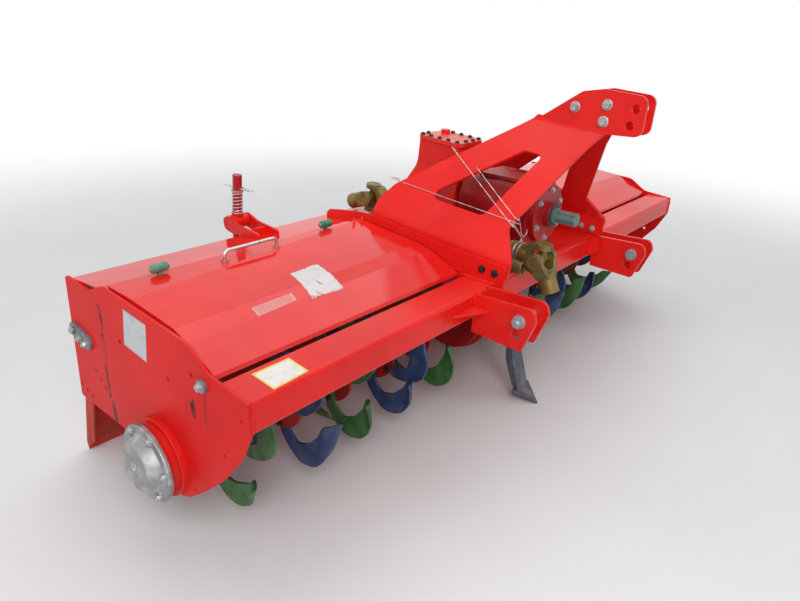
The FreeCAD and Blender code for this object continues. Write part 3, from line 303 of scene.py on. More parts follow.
def add_piece(name, bm, finish, body, sharp=38):
    """A piece of the built faces. It rides on a body if one is given, and its edges of more
    than sharp degrees stay crisp."""
    bmesh.ops.recalc_face_normals(bm, faces=bm.faces)
    made = smooth_object(name, bm, finish)
    made.data.set_sharp_from_angle(angle=math.radians(sharp))
    if body:
        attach(made, body)
    return made


SIDES = ((-1, "near"), (1, "far"))
RIPPLE = 0.0032              # metres from one ripple to the next
THIN, CREST, WANDER, WANDER_STEP = 0.86, 0.16, 0.10, 0.37    # the first three are shares of a bead's size
BEADS = (                    # hitch x, y and z of the start, of the end, size, all in mm
    ((353, 151, 37), (353, 264, 37), 4.0),
    ((353, 275, 47), (353, 700, 47), 3.5),
    ((381, 151, 37), (381, 200, 37), 3.5),
    ((381, 149, 34), (381, 149, -40), 4.0),
    ((444, 149, 34), (444, 149, -40), 4.0),
    ((456, 149, 30), (456, 149, -40), 4.0),
    ((1247, 153, 34), (1247, 262, 34), 3.5),
    ((1247, 150, 22), (1247, 150, -36), 3.5),
    ((340, 122, 47), (340, 330, 47), 3.5),
    ((705, 806, 94), (705, 896, 85), 3.0),
    ((639, 806, 94), (639, 896, 85), 3.0),
)
for side, word in SIDES:
    bm = bmesh.new()
    for first, last, size in BEADS:
        start, end = (at(side * x, y, z) for x, y, z in (first, last))
        steps = max(3, int((end - start).length / RIPPLE * 2))
        line = [start.lerp(end, i / steps) for i in range(steps + 1)]
        radii = [size / 1000 * (THIN + CREST * (i % 2) + WANDER * math.sin(i * WANDER_STEP))
                 for i in range(steps + 1)]
        bar(bm, line, radii, 6)
    add_piece("weld_beads_" + word, bm, frame_red, "frame", 80)


# Side plates: flame-cut 8 mm plate with punched spare holes. Oil and rust have run from
# some of them, and a few open slots go right through next to the drilled ones. Two thin
# upright dark lines are painted shade where the plate is folded.
PLATE_OUT = 1256             # hitch x of the plate's outer face
STAINS_AND_FOLD_SHADE = (                   # hitch y, z, half length, half height in mm
    (757, -162, 7, 66),
    (746, -262, 12, 40),
    (742, 22, 7, 24),
    (352, -64, 10, 26),
    # painted shade: the last two rows are thin dark lines along folds in the plate
    (303, -46, 2.2, 56),
    (744, -40, 2.4, 70),
)
stains_and_fold_shade = [(*at(0.5 - PLATE_OUT, y, z), long / 1000, high / 1000) for y, z, long, high in STAINS_AND_FOLD_SHADE]
plate_red = red_paint("plate_red", 0.40, 0.0, 0.5, 0.5, 0.09, stains_and_fold_shade)
wear(plate_red, "side_plate_near", "side_plate_far")

# painted shade: the slots are black inlays for the dark inside that shows through them
slot_shade_black, shader, place = new_finish("slot_shade_black", Specular_IOR_Level=0.3)
shade_mottle = place.cloud(0.004, 4).between(0.4, 0.65)
lay_on(shader, Base_Color=shade_mottle.mix((0.012, 0.006, 0.005, 1), (0.07, 0.02, 0.015, 1)),
       Roughness=0.5 + shade_mottle * 0.3, Normal=shade_mottle.bump(0.0004))

SLOTS = (                    # hitch y, z, half length, half width, lean from upright in degrees
    (747, 52, 9, 3.4, 8),
    (357, -60, 8, 4, 25),
    (820, -160, 6, 2.6, 60),
    (800, -178, 6, 2.6, 55),
    (778, -196, 6, 2.6, 50),
    (760, -214, 6, 2.6, 45),
)
SLOT_RIM = ((-0.5, 0.0), (0.25, 0.0), (0.35, 0.6))     # mm out of the plate, mm narrower
SLOT_POINTS = 16
# black inlays, 0.25 mm proud, as painted shade inside the open slots
bm = bmesh.new()
for side, _ in SIDES:
    for y, z, half, width, lean in SLOTS:
        tilt = math.radians(lean)
        line = Vector((0, math.sin(tilt), math.cos(tilt)))
        cross = Vector((0, math.cos(tilt), -math.sin(tilt)))
        rings = []
        for proud, spare in SLOT_RIM:
            middle, r = at(side * (PLATE_OUT + proud), y, z), width - spare
            rim = []
            for i in range(SLOT_POINTS):
                a = (i + 0.5) * 2 * math.pi / SLOT_POINTS
                along = math.copysign(half - width, math.cos(a)) + math.cos(a) * r
                rim.append(bm.verts.new(middle + (line * along + cross * math.sin(a) * r) / 1000))
            rings.append(rim)
        skin(bm, rings)
add_piece("side_plate_slots", bm, slot_shade_black, "frame")


# Bearing caps: sand-cast aluminium lids, machined on the rim. Six zinc-plated studs
# hold each one, with a nut and a washer.
cast_aluminium, shader, place = new_finish("cast_aluminium")
grain = place.cloud(0.0016, 3)
patch = place.cloud(0.03, 4).between(0.42, 0.64)
stain = place.cloud(0.05, 6).between(0.52, 0.72)
colour = patch.mix((0.33, 0.34, 0.34, 1), (0.47, 0.48, 0.48, 1))
colour = (stain * 0.6).mix(colour, (0.17, 0.15, 0.13, 1))
bright = place.edges(0.0015)
lay_on(shader, Base_Color=bright.mix(colour, (0.75, 0.75, 0.74, 1)), Metallic=0.92 - stain * 0.5,
       Roughness=0.40 + patch * 0.14 + stain * 0.2 - bright * 0.15,
       Normal=(grain * 0.5 + stain * 0.3).bump(0.0006, place.soft_edges(0.002)))
wear(cast_aluminium, "bearing_caps")

zinc, shader, place = new_finish("zinc")
spangle = place.node("ShaderNodeTexVoronoi", {}, {"Vector": place, "Scale": 260.0}, out="Color").part(0)
dull = place.cloud(0.012, 4).between(0.40, 0.68)
colour = (spangle * 0.45).mix((0.42, 0.43, 0.44, 1), (0.60, 0.61, 0.62, 1))
colour = (dull * 0.6).mix(colour, (0.24, 0.22, 0.20, 1))
lay_on(shader, Base_Color=colour, Metallic=0.85 - dull * 0.35, Roughness=0.34 + dull * 0.26,
       Normal=(spangle * 0.2 + dull * 0.5).bump(0.0003, place.soft_edges(0.0008)))
wear(zinc, "hitch_pins", "mast_spacers", "rod_clip_near", "rod_clip_far")


def turned(bm, foot, axis, profile, sides=20, turn=0.0):
    """A turned shape on a foot: its profile is (along the axis, radius) in mm."""
    across = axis.orthogonal().normalized()
    other = axis.cross(across)
    skin(bm, [ring(bm, foot + axis * (a / 1000), across, other, r / 1000, sides, turn) for a, r in profile])


def hex_bolt(bm, seat, axis, corner, turn, stud=False):
    """A washer and a chamfered hexagon on a seat, with or without a stud's end in its top.
    Their sizes are shares of the hexagon's corner radius in mm; turn is in radians."""
    washer, washer_r, stud_r = 0.17 * corner, 1.28 * corner, 0.55 * corner
    top = washer + 0.82 * corner
    chamfer = washer + 0.82 * corner * 0.86
    turned(bm, seat, axis, ((-0.4, washer_r), (washer * 0.8, washer_r), (washer, 1.22 * corner)))
    turned(bm, seat, axis, ((0, corner), (chamfer, corner), (top, 0.90 * corner)), 6, turn)
    if stud:
        turned(bm, seat, axis, ((0, stud_r), (top + 0.38 * corner, stud_r),
                                (top + 0.48 * corner, 0.44 * corner)), 14)


CAP_FACE, CAP_CIRCLE, CAP_BOLTS, CAP_FIRST, CAP_CORNER = 1306, 88, 6, 54, 8.6
ROTOR_Y, ROTOR_Z = 506, -271
for side, word in SIDES:
    bm = bmesh.new()
    for i in range(CAP_BOLTS):
        a = math.radians(CAP_FIRST + 360 / CAP_BOLTS * i)
        seat = at(side * CAP_FACE, ROTOR_Y + CAP_CIRCLE * math.cos(a), ROTOR_Z + CAP_CIRCLE * math.sin(a))
        hex_bolt(bm, seat, Vector((side, 0, 0)), CAP_CORNER, 0.4 + i, stud=True)
    add_piece("cap_bolts_" + word, bm, zinc, "frame")


# Plates and stickers: a silver plate on the side plate, a white one with a yellow edge on
# the beam, and two weathered stickers on the near lid. All of them are blank.
ABOVE = 2.0                  # a height in metres over the whole machine


def sticker(name, corners, body, finish, lift, drop_on=None, steps=(28, 18)):
    """A sheet between four corners, dropped on a surface if one is given."""
    bm = bmesh.new()
    sheet = bm.loops.layers.uv.new("sheet")
    a, b, c, d = corners
    columns, rows = steps
    grid = []
    for j in range(rows + 1):
        v = j / rows
        row = []
        for i in range(columns + 1):
            u = i / columns
            spot = a.lerp(b, u).lerp(d.lerp(c, u), v)
            if drop_on:
                spot = drop_on.ray_cast(Vector((spot.x, spot.y, ABOVE)), Vector((0, 0, -1)))[0]
            row.append((bm.verts.new(spot + lift), (u, v)))
        grid.append(row)
    for low, high in zip(grid, grid[1:]):
        for i in range(columns):
            four = (low[i], low[i + 1], high[i + 1], high[i])
            face = bm.faces.new([vert for vert, _ in four])
            for loop, (_, uv) in zip(face.loops, four):
                loop[sheet].uv = uv
    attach(smooth_object(name, bm, finish), body)


def sticker_finish(name, paper, edge, edge_width, torn=0.0, faded=0.0, metallic=0.0):
    """Paper and edge colours, the edge's share of the sheet, how much of the rim is torn
    away and how far it is scuffed through."""
    finish, shader, place = new_finish(name, Specular_IOR_Level=0.4, Metallic=metallic)
    flat = place.node("ShaderNodeTexCoord", out="UV")
    u, v = flat.part(0), flat.part(1)
    rim = (u.least(1 - u) * 1.5).least(v.least(1 - v))
    dirt = place.cloud(0.02, 5).between(0.45, 0.72)
    fine = place.cloud(0.0022, 3).between(0.50, 0.62)
    colour = (1 - rim.between(edge_width, edge_width + 0.01)).mix(paper, edge)
    colour = (dirt * 0.25 + fine * 0.10).mix(colour, (0.40, 0.33, 0.28, 1))
    lay_on(shader, Base_Color=colour, Roughness=0.35 + dirt * 0.3,
           Normal=(dirt + fine * 0.3).bump(0.0003))
    if torn:
        kept = (rim + (place.cloud(0.012, 5) - 0.5) * torn).between(0.0, 0.02)
        scuffed = place.cloud(0.03, 5, (1, 0.3, 1)).between(0.62, 0.66) * faded * 8
        lay_on(shader, Alpha=kept * (1 - scuffed))
    return finish


side_silver = sticker_finish("side_silver", (0.60, 0.62, 0.63, 1), (0.50, 0.52, 0.53, 1), 0.03, metallic=0.25)
beam_white = sticker_finish("beam_white", (0.78, 0.76, 0.70, 1), (0.80, 0.58, 0.10, 1), 0.07)
lid_white = sticker_finish("lid_white", (0.66, 0.63, 0.62, 1), (0.58, 0.55, 0.54, 1), 0.02, 0.20, 0.08)
strip_clear = sticker_finish("strip_clear", (0.68, 0.20, 0.19, 1), (0.66, 0.34, 0.33, 1), 0.07, 0.03)
near_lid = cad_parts["lid_near"].data
lid_top = BVHTree.FromPolygons(
    [v.co for v in near_lid.vertices], [tuple(f.vertices) for f in near_lid.polygons])
SHEET = 0.0004               # metres that a sheet's face stands off the metal
sticker("side_plate_plate", [at(-PLATE_OUT, y, z) for y, z in ((616, 90), (517, 82), (534, -21), (635, -11))],
        "frame", side_silver, Vector((-SHEET, 0, 0)))
BEAM_TOP = 36
TOP_SHEETS = (               # name, hitch x and y of its corners, body, finish, surface, steps
    ("beam_sticker", ((-1178, 241), (-1075, 240), (-1083, 165), (-1184, 159)),
     "frame", beam_white, None, (28, 18)),
    ("lid_sticker", ((-849, 495), (-743, 503), (-771, 367), (-882, 371)),
     "lid_near", lid_white, lid_top, (40, 40)),
    ("lid_strip", ((-1047, 407), (-917, 411), (-922, 384), (-1050, 376)),
     "lid_near", strip_clear, lid_top, (60, 12)),
)
for name, corners, body, finish, surface, steps in TOP_SHEETS:
    sticker(name, [at(x, y, BEAM_TOP) for x, y in corners], body, finish, Vector((0, 0, SHEET)), surface, steps)


# Lids: folded sheet with turned-down ends, hung on a bolt at each front corner. Each has a
# bent steel handle on two collars, two rubber grips with end caps and two small pegs at its
# inner rear corner. The outermost grip on the near side is painted paler, as painted light.
bright_bar, shader, place = new_finish("bright_bar")
draw = place.cloud(0.02, 3, (0.2, 6, 6))
rust = place.cloud(0.01, 5).between(0.56, 0.70)
colour = (rust * 0.6).mix((0.52, 0.51, 0.50, 1), (0.24, 0.11, 0.06, 1))
lay_on(shader, Base_Color=colour, Metallic=0.9 - rust * 0.6, Roughness=0.26 + rust * 0.35 + draw * 0.1,
       Normal=(draw * 0.2 + rust * 0.4).bump(0.0003, place.soft_edges(0.001)))
wear(bright_bar, "lid_handle_near", "lid_handle_far")

grip_green, shader, place = new_finish("grip_green", Specular_IOR_Level=0.35)
# painted light: the near outermost grip, beyond x -0.9 m, is made paler than the rest
painted_light_outer_grip = 1 - place.part(0).between(-1.0, -0.9)
chalk_and_painted_light = place.cloud(0.014, 5).between(0.42, 0.66) * 0.5 + place.edges(0.002) * 0.4 + painted_light_outer_grip * 0.5
lay_on(shader, Base_Color=chalk_and_painted_light.mix((0.020, 0.175, 0.085, 1), (0.17, 0.31, 0.25, 1)),
       Roughness=0.48 + chalk_and_painted_light * 0.25,
       Normal=place.cloud(0.0012, 2).bump(0.0003, place.soft_edges(0.002)))
wear(grip_green, "lid_knobs_near", "lid_knobs_far")

LID_ENDS = (                 # hitch x of the turned-down edge, its y and the lid's top above it
    (1241, ((330, 64), (371, 82), (422, 101), (597, 115), (705, 117))),
    (360, ((330, 60), (392, 85), (440, 95), (698, 118))),
)
EDGE_DEEP, EDGE_HALF, LID_SHEET = 26, 1, 3
EDGE_CORNERS = ((-1, LID_SHEET), (1, LID_SHEET), (1, EDGE_DEEP), (-1, EDGE_DEEP))
PEGS = ((378, 671, 117), (415, 673, 117))
PEG = ((-1, 5), (1.5, 5), (2, 3.4), (15, 3.4), (16.5, 2.4))
HANDLE_FEET = ((938, 660, 126), (757, 660, 126))
COLLAR = ((-1, 8), (0.6, 8), (1.4, 6.6), (3.2, 6.0))
GRIPS, GRIP_HALF = ((1110, 697, 134), (524, 697, 134)), 25.2
GRIP_CAP = ((0, 6.4), (1.2, 6.4), (1.6, 5.0), (1.6, 3.0))
UP = Vector((0, 0, 1))
for side, word in SIDES:
    bm = bmesh.new()
    for x, tops in LID_ENDS:
        skin(bm, [[bm.verts.new(at(side * (x + way * EDGE_HALF), y, z - drop)) for way, drop in EDGE_CORNERS]
                  for y, z in tops])
    add_piece("lid_edges_" + word, bm, lid_red, "lid_" + word)
    bm = bmesh.new()
    for places, profile, points in ((PEGS, PEG, 12), (HANDLE_FEET, COLLAR, 16)):
        for x, y, z in places:
            turned(bm, at(side * x, y, z), UP, profile, points)
    add_piece("lid_tabs_" + word, bm, lid_red, "lid_" + word)
    bm = bmesh.new()
    for x, y, z in GRIPS:
        for end in (-1, 1):
            turned(bm, at(side * x + end * GRIP_HALF, y, z), Vector((end, 0, 0)), GRIP_CAP, 16)
    add_piece("grip_ends_" + word, bm, zinc, "lid_" + word)
LUG_OUT = PLATE_OUT + 8      # hitch x of the faces that stand one plate outside the side plate
LID_BOLT, LID_BOLT_IN, LID_BOLT_CORNER = (303, 15), 337, 9.6
bm = bmesh.new()
for side, _ in SIDES:
    hex_bolt(bm, at(side * LUG_OUT, *LID_BOLT), Vector((side, 0, 0)), LID_BOLT_CORNER, 0.2)
    hex_bolt(bm, at(side * LID_BOLT_IN, *LID_BOLT), Vector((-side, 0, 0)), LID_BOLT_CORNER, 0.5)
add_piece("lid_bolt_heads", bm, zinc, "frame")


# Mast: two folded plates bolted together over three spacers at the head. Their feet are
# bolted inside the bulkheads with black high-tensile bolts.
MAST_BOLTS, HEAD_OUT, MAST_CORNER = ((125, 534), (27, 550), (31, 502)), 37.5, 12.8    # hitch y and z
FOOT_BOLTS, FOOT_OUT, FOOT_IN, FOOT_CORNER = ((198, 73), (154, 71)), 353, 335, 9.5
black_bolt, shader, place = new_finish("black_bolt")
oxide = place.cloud(0.006, 4).between(0.45, 0.66)
lay_on(shader, Base_Color=oxide.mix((0.016, 0.015, 0.016, 1), (0.060, 0.035, 0.025, 1)),
       Metallic=0.6 - oxide * 0.3, Roughness=0.42 + oxide * 0.25,
       Normal=oxide.bump(0.0003, place.soft_edges(0.0008)))
bm, dark = bmesh.new(), bmesh.new()
for side, _ in SIDES:
    out = Vector((side, 0, 0))
    for i, (y, z) in enumerate(MAST_BOLTS):
        hex_bolt(bm, at(side * HEAD_OUT, y, z), out, MAST_CORNER, 0.2 + i, stud=side > 0)
    for i, (y, z) in enumerate(FOOT_BOLTS):
        hex_bolt(dark, at(side * FOOT_OUT, y, z), out, FOOT_CORNER, 0.5 + i)
        hex_bolt(bm, at(side * FOOT_IN, y, z), -out, FOOT_CORNER, 0.1 + i, stud=True)
add_piece("mast_nuts", bm, zinc, "frame")
add_piece("mast_foot_bolts", dark, black_bolt, "frame")


# Lower hitch: each clevis is two flame-cut plates welded to the beam, and a steel pin goes
# through both. The pin has a round head outside and a collar inside, where a linch pin with
# a bent spring ring goes across it.
PIN_HEAD, PIN_HEAD_X = ((-0.5, 11), (5, 11), (7, 9)), 474
PIN_COLLAR, PIN_COLLAR_X = ((-0.5, 14.1), (15, 14.1), (17, 12.5)), 369
LINCH_X, LINCH_POINTS, LINCH_R = 362, (-17, -6, 6, 17), 0.0038
RING_R, RING_TOP, RING_BEND, RING_WIRE, RING_POINTS = 0.019, 0.016, 0.002, 0.0016, 28     # metres
bm = bmesh.new()
for side, _ in SIDES:
    out = Vector((side, 0, 0))
    turned(bm, at(side * PIN_HEAD_X, 0, 0), out, PIN_HEAD, 18)
    peg = at(side * LINCH_X, 0, 0)
    bar(bm, [peg + UP * (s / 1000) for s in LINCH_POINTS], LINCH_R, 10)
    turned(bm, at(side * PIN_COLLAR_X, 0, 0), -out, PIN_COLLAR, 20)
    loop = []
    for i in range(RING_POINTS):
        a = 2 * math.pi * i / RING_POINTS
        loop.append(peg + Vector((RING_BEND * math.sin(2 * a), RING_R * math.sin(a),
                                  RING_TOP - RING_R + RING_R * math.cos(a))))
    bar(bm, loop, RING_WIRE, 6, closed=True)
add_piece("linch_pins", bm, zinc, "frame")


# Gearbox: grey-iron castings in the frame's red, coloured darker crimson as painted shade. The round
# cover of the input bearing has six bolts and a shaft seal, and black bolts hold the sloping cover
# on the gear tower.
def cast_paint(name, fresh, deep, roughness, chip):
    """Paint on a rough casting, with chips down to primer."""
    finish, shader, place = new_finish(name, Specular_IOR_Level=0.4)
    sand = place.cloud(0.0030, 4)
    tone = place.cloud(0.12, 4).between(0.38, 0.64)
    dusty = place.facing_up() * place.cloud(0.05, 5).between(0.35, 0.70) * 0.45
    flaked = place.cloud(0.010, 5).between(0.66 - chip, 0.68 - chip)
    colour = dusty.mix(tone.mix(fresh, deep), (0.36, 0.24, 0.19, 1))
    colour = (flaked * 0.7).mix(colour, (0.12, 0.07, 0.06, 1))
    worn = place.edges(0.0025) * place.cloud(0.02, 4).between(0.48, 0.60) * 0.7
    colour = worn.mix(colour, (0.20, 0.17, 0.16, 1))
    lay_on(shader, Base_Color=colour, Roughness=roughness + dusty * 0.4 + sand * 0.08,
           Normal=(sand * 0.8 - flaked * 0.3).bump(0.0006, place.soft_edges(0.003)))
    return finish


# painted shade: a darker red than the frame's paint, on every node that wears it
cast_red = cast_paint("cast_red", (0.42, 0.007, 0.009, 1), (0.27, 0.004, 0.007, 1), 0.36, 0.0)
wear(cast_red, "gearbox", "gear_case", "rotor_shaft_near", "rotor_shaft_far")
shaft_grey = cast_paint("shaft_grey", (0.118, 0.210, 0.190, 1), (0.085, 0.160, 0.145, 1), 0.38, 0.03)
wear(shaft_grey, "input_shaft")

INPUT_Z, COVER_FACE_Y, COVER_CIRCLE, COVER_BOLTS, COVER_FIRST, COVER_CORNER = 183, 180, 80, 6, 25, 8.5
bm = bmesh.new()
for i in range(COVER_BOLTS):
    a = math.radians(COVER_FIRST + 360 / COVER_BOLTS * i)
    seat = at(COVER_CIRCLE * math.cos(a), COVER_FACE_Y, INPUT_Z + COVER_CIRCLE * math.sin(a))
    hex_bolt(bm, seat, Vector((0, -1, 0)), COVER_CORNER, i)
add_piece("gearbox_cover_bolts", bm, zinc, "frame")

TOWER_FRONT, TOWER_REAR, TOWER_CORNER = (505, 371), (687, 383), 7.2      # hitch y and z of the cover's top
TOWER_BOLTS = [(x, y) for x in (-67, 67) for y in (522, 560, 598, 636, 672)]
TOWER_BOLTS += [(-22, 516), (22, 516), (-30, 676)]
bm = bmesh.new()
slope = (TOWER_REAR[1] - TOWER_FRONT[1]) / (TOWER_REAR[0] - TOWER_FRONT[0])
tilted = Vector((0, -slope, 1)).normalized()
for x, y in TOWER_BOLTS:
    hex_bolt(bm, at(x, y, TOWER_FRONT[1] + slope * (y - TOWER_FRONT[0])), tilted, TOWER_CORNER, x + y)
add_piece("tower_cover_bolts", bm, black_bolt, "frame")

seal_black, shader, place = new_finish("seal_black", Specular_IOR_Level=0.4)
greasy = place.cloud(0.008, 4).between(0.4, 0.65)
lay_on(shader, Base_Color=greasy.mix((0.012, 0.012, 0.012, 1), (0.035, 0.028, 0.022, 1)),
       Roughness=0.30 + greasy * 0.35, Normal=greasy.bump(0.0003))
SEAL_LIPS = ((0.0, 40.0), (-2.2, 39.0), (-2.6, 35.0), (-1.2, 33.5), (-2.4, 31.0), (-2.4, 28.2), (0.0, 27.8))
SEAL_Y, SEAL_POINTS = 158, 40
bm = bmesh.new()
skin(bm, [ring(bm, at(0, SEAL_Y + a, INPUT_Z), Vector((1, 0, 0)), UP, r / 1000, SEAL_POINTS)
          for a, r in SEAL_LIPS], closed_ends=False)
add_piece("input_seal", bm, seal_black, "frame")


# Rotor: flanges welded on a tube carry forged sickle blades, blue on some flanges and green
# on the others. Two bolts hold each blade, and the soil scours its edges bare.
def blade_paint(name, colour, deep):
    """Dipped paint in two tones, muddy and worn to steel along the edges."""
    finish, shader, place = new_finish(name, Specular_IOR_Level=0.45)
    tone = place.cloud(0.05, 4).between(0.38, 0.66)
    worn = place.edges(0.0022) * place.cloud(0.02, 5).between(0.42, 0.60)
    mud = place.cloud(0.03, 6).between(0.50, 0.68) * 0.6
    paint = mud.mix(tone.mix(colour, deep), (0.11, 0.085, 0.065, 1))
    lay_on(shader, Base_Color=worn.mix(paint, (0.30, 0.28, 0.27, 1)), Metallic=worn * 0.7,
           Roughness=0.34 + tone * 0.10 + mud * 0.5,
           Normal=(place.cloud(0.004, 3) * 0.4 + mud * 0.6).bump(0.0006, place.soft_edges(0.0018)))
    return finish


blade_blue = blade_paint("blade_blue", (0.026, 0.064, 0.190, 1), (0.015, 0.036, 0.110, 1))
blade_green = blade_paint("blade_green", (0.040, 0.165, 0.036, 1), (0.020, 0.090, 0.022, 1))
wear(blade_blue, "blades_blue_near", "blades_blue_far")
wear(blade_green, "blades_green_near", "blades_green_far")

FLANGES = (                  # hitch x, turn of the outward-bent pair, turn of the inward-bent pair
    (1090, -17, 73),
    (890, 94, 4),
    (690, 8, 98),
    (490, 2, 62),
    (290, 19, 109),
)
FLANGE_HALF, BLADE_T, BLADE_CORNER = 5, 8, 8
BLADE_BOLTS = (64, 84)       # mm from the rotor's axis
for side, word in SIDES:
    bm = bmesh.new()
    for x, out_turn, in_turn in FLANGES:
        for bend, turn in ((1, out_turn), (-1, in_turn)):
            face = Vector((side * bend, 0, 0))
            head_x, nut_x = side * (x + bend * (FLANGE_HALF + BLADE_T)), side * (x - bend * FLANGE_HALF)
            for half_turn in (0, 180):
                a = math.radians(turn + half_turn)
                for reach in BLADE_BOLTS:
                    y, z = ROTOR_Y - reach * math.sin(a), ROTOR_Z - reach * math.cos(a)
                    hex_bolt(bm, at(head_x, y, z), face, BLADE_CORNER, turn)
                    hex_bolt(bm, at(nut_x, y, z), -face, BLADE_CORNER, turn + 1, stud=True)
    add_piece("blade_bolts_" + word, bm, black_bolt, "rotor")


# Plough: a curved bar under the gear case with a forged arrow point, which breaks the
# strip that the blades leave. Soil keeps its front bright and the rest is dark scale.
share_steel, shader, place = new_finish("share_steel")
scale = place.cloud(0.03, 5).between(0.40, 0.62)
scour = place.cloud(0.09, 3, (3, 1, 1)).between(0.46, 0.76)
bright = (place.edges(0.003) * 0.8).most(scour * 0.55)
low = 1 - place.part(2).between(0.05, 0.30)
colour = scale.mix((0.075, 0.082, 0.098, 1), (0.125, 0.130, 0.145, 1))
colour = (bright * (0.3 + low * 0.5)).mix(colour, (0.30, 0.31, 0.34, 1))
lay_on(shader, Base_Color=colour, Metallic=0.55 + bright * 0.35, Roughness=0.46 - bright * 0.12 + scale * 0.08,
       Normal=(scale * 0.5 + place.cloud(0.005, 3) * 0.3).bump(0.0006, place.soft_edges(0.002)))
wear(share_steel, "plough_leg", "plough_point")


# Trailing board: hung on two galvanised oval plates, each bolted outside its side plate
# with two hexagon bolts beside the hinge pin's head. The lids' bolts are galvanised too.
galvanised, shader, place = new_finish("galvanised")
spangle = place.node("ShaderNodeTexVoronoi", {}, {"Vector": place, "Scale": 170.0}, out="Color").part(0)
drip = place.cloud(0.02, 4, (1, 1, 0.4)).between(0.42, 0.66)
colour = (spangle * 0.5).mix((0.21, 0.23, 0.26, 1), (0.33, 0.35, 0.38, 1))
lay_on(shader, Base_Color=(drip * 0.5).mix(colour, (0.13, 0.12, 0.12, 1)), Metallic=0.7 - drip * 0.4,
       Roughness=0.42 + drip * 0.2, Normal=(spangle * 0.2 + drip * 0.6).bump(0.0004, place.soft_edges(0.0015)))
wear(galvanised, "hinge_lugs", "lid_bolts")
LUG_BOLTS, LUG_CORNER = ((872, -80, 0.3), (843, -86, 0.9)), 8.6          # hitch y, z and turn
HINGE_HEAD, HINGE_PLACE = ((-6, 10.5), (0.4, 10.5), (1.6, 9.0)), (LUG_OUT + 8, 903, -64)
bm = bmesh.new()
for side, _ in SIDES:
    out = Vector((side, 0, 0))
    for y, z, turn in LUG_BOLTS:
        hex_bolt(bm, at(side * LUG_OUT, y, z), out, LUG_CORNER, turn, stud=True)
    x, y, z = HINGE_PLACE
    turned(bm, at(side * x, y, z), out, HINGE_HEAD, 20)
add_piece("hinge_plate_bolts", bm, zinc, "frame")


# Board rods: red bars, coloured dark crimson as painted shade, through swinging blocks, each
# with a bright compression spring held by a washer and a bent wire hairpin through the bar.
# painted shade: the rods' red is made darker than the frame's
rod_red_painted_shade = cast_paint("rod_red_painted_shade", (0.44, 0.008, 0.016, 1), (0.30, 0.005, 0.012, 1), 0.32, 0.02)
wear(rod_red_painted_shade, "spring_rod_near", "spring_rod_far")
wear(frame_red, "trunnion_near", "trunnion_far", "spring_brackets")

spring_wire, shader, place = new_finish("spring_wire")
flash = place.cloud(0.010, 4).between(0.45, 0.66)
lay_on(shader, Base_Color=(flash * 0.5).mix((0.66, 0.64, 0.63, 1), (0.40, 0.28, 0.24, 1)),
       Metallic=0.7 - flash * 0.4, Roughness=0.30 + flash * 0.3, Normal=flash.bump(0.0002))


def curved(points, steps):
    """A smooth line through points, with this many steps from one to the next."""
    line = []
    for i in range(len(points) - 1):
        p0, p1, p2, p3 = points[max(0, i - 1)], points[i], points[i + 1], points[min(len(points) - 1, i + 2)]
        for k in range(steps):
            t = k / steps
            line.append(0.5 * (2 * p1 + (p2 - p0) * t + (2 * p0 - 5 * p1 + 4 * p2 - p3) * t * t
                               + (3 * p1 - p0 - 3 * p2 + p3) * t ** 3))
    return line + [points[-1]]


ROD_X, TRUNNION, ROD_UP = 672, (962, 112), Vector((0, -0.0794, 0.9968))
SPRING_LOW, SPRING_HIGH, SPRING_OUT, SPRING_WIRE = 30, 104, 19.0, 1.7    # mm, the first two above the trunnion
SPRING_TURNS, CLOSED_TURNS, TURN_POINTS = 8, 0.9, 22
CLOSED_RISE = 0.06           # share of the rise that goes evenly over all turns, the closed ones too
HAIRPIN_UP, HAIRPIN_WIRE = 112.5, 2.0
HAIRPIN = (                  # mm rearwards and across from where it goes through the rod
    (-58, 0), (-40, 1.0), (0, 0), (36, 0), (52, -6), (63, -3), (66, 4), (60, 10), (48, 9), (34, 7),
    (20, 17.5), (0, 17.9), (-18, 17.5), (-30, 9), (-46, 10), (-60, 15),
)
rod_side, rearwards = Vector((1, 0, 0)), Vector((0, 1, 0))
rod_back = ROD_UP.cross(rod_side)
spread = (SPRING_OUT - SPRING_WIRE) / 1000
for side, word in SIDES:
    foot = at(side * ROD_X, *TRUNNION)
    count = SPRING_TURNS * TURN_POINTS
    coil = []
    for i in range(count + 1):
        t = i / count
        free = min(1, max(0, (t * SPRING_TURNS - CLOSED_TURNS) / (SPRING_TURNS - 2 * CLOSED_TURNS)))
        share = (1 - CLOSED_RISE) * free + CLOSED_RISE * t
        rise = SPRING_LOW + SPRING_WIRE + (SPRING_HIGH - SPRING_LOW - 2 * SPRING_WIRE) * share
        a = 2 * math.pi * SPRING_TURNS * t
        coil.append(foot + ROD_UP * (rise / 1000) + (rod_side * math.cos(a) + rod_back * math.sin(a)) * spread)
    bm = bmesh.new()
    bar(bm, coil, SPRING_WIRE / 1000, 8)
    spring = add_piece("spring_" + word, bm, spring_wire, None)
    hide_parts("coil_spring_" + word)
    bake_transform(spring)
    bm = bmesh.new()
    hole = foot + ROD_UP * (HAIRPIN_UP / 1000)
    path = [hole + rearwards * (y / 1000) + rod_side * (x / 1000) for y, x in HAIRPIN]
    bar(bm, curved(path, 5), HAIRPIN_WIRE / 1000, 8)
    add_piece("hairpin_" + word, bm, spring_wire, "rod_" + word)


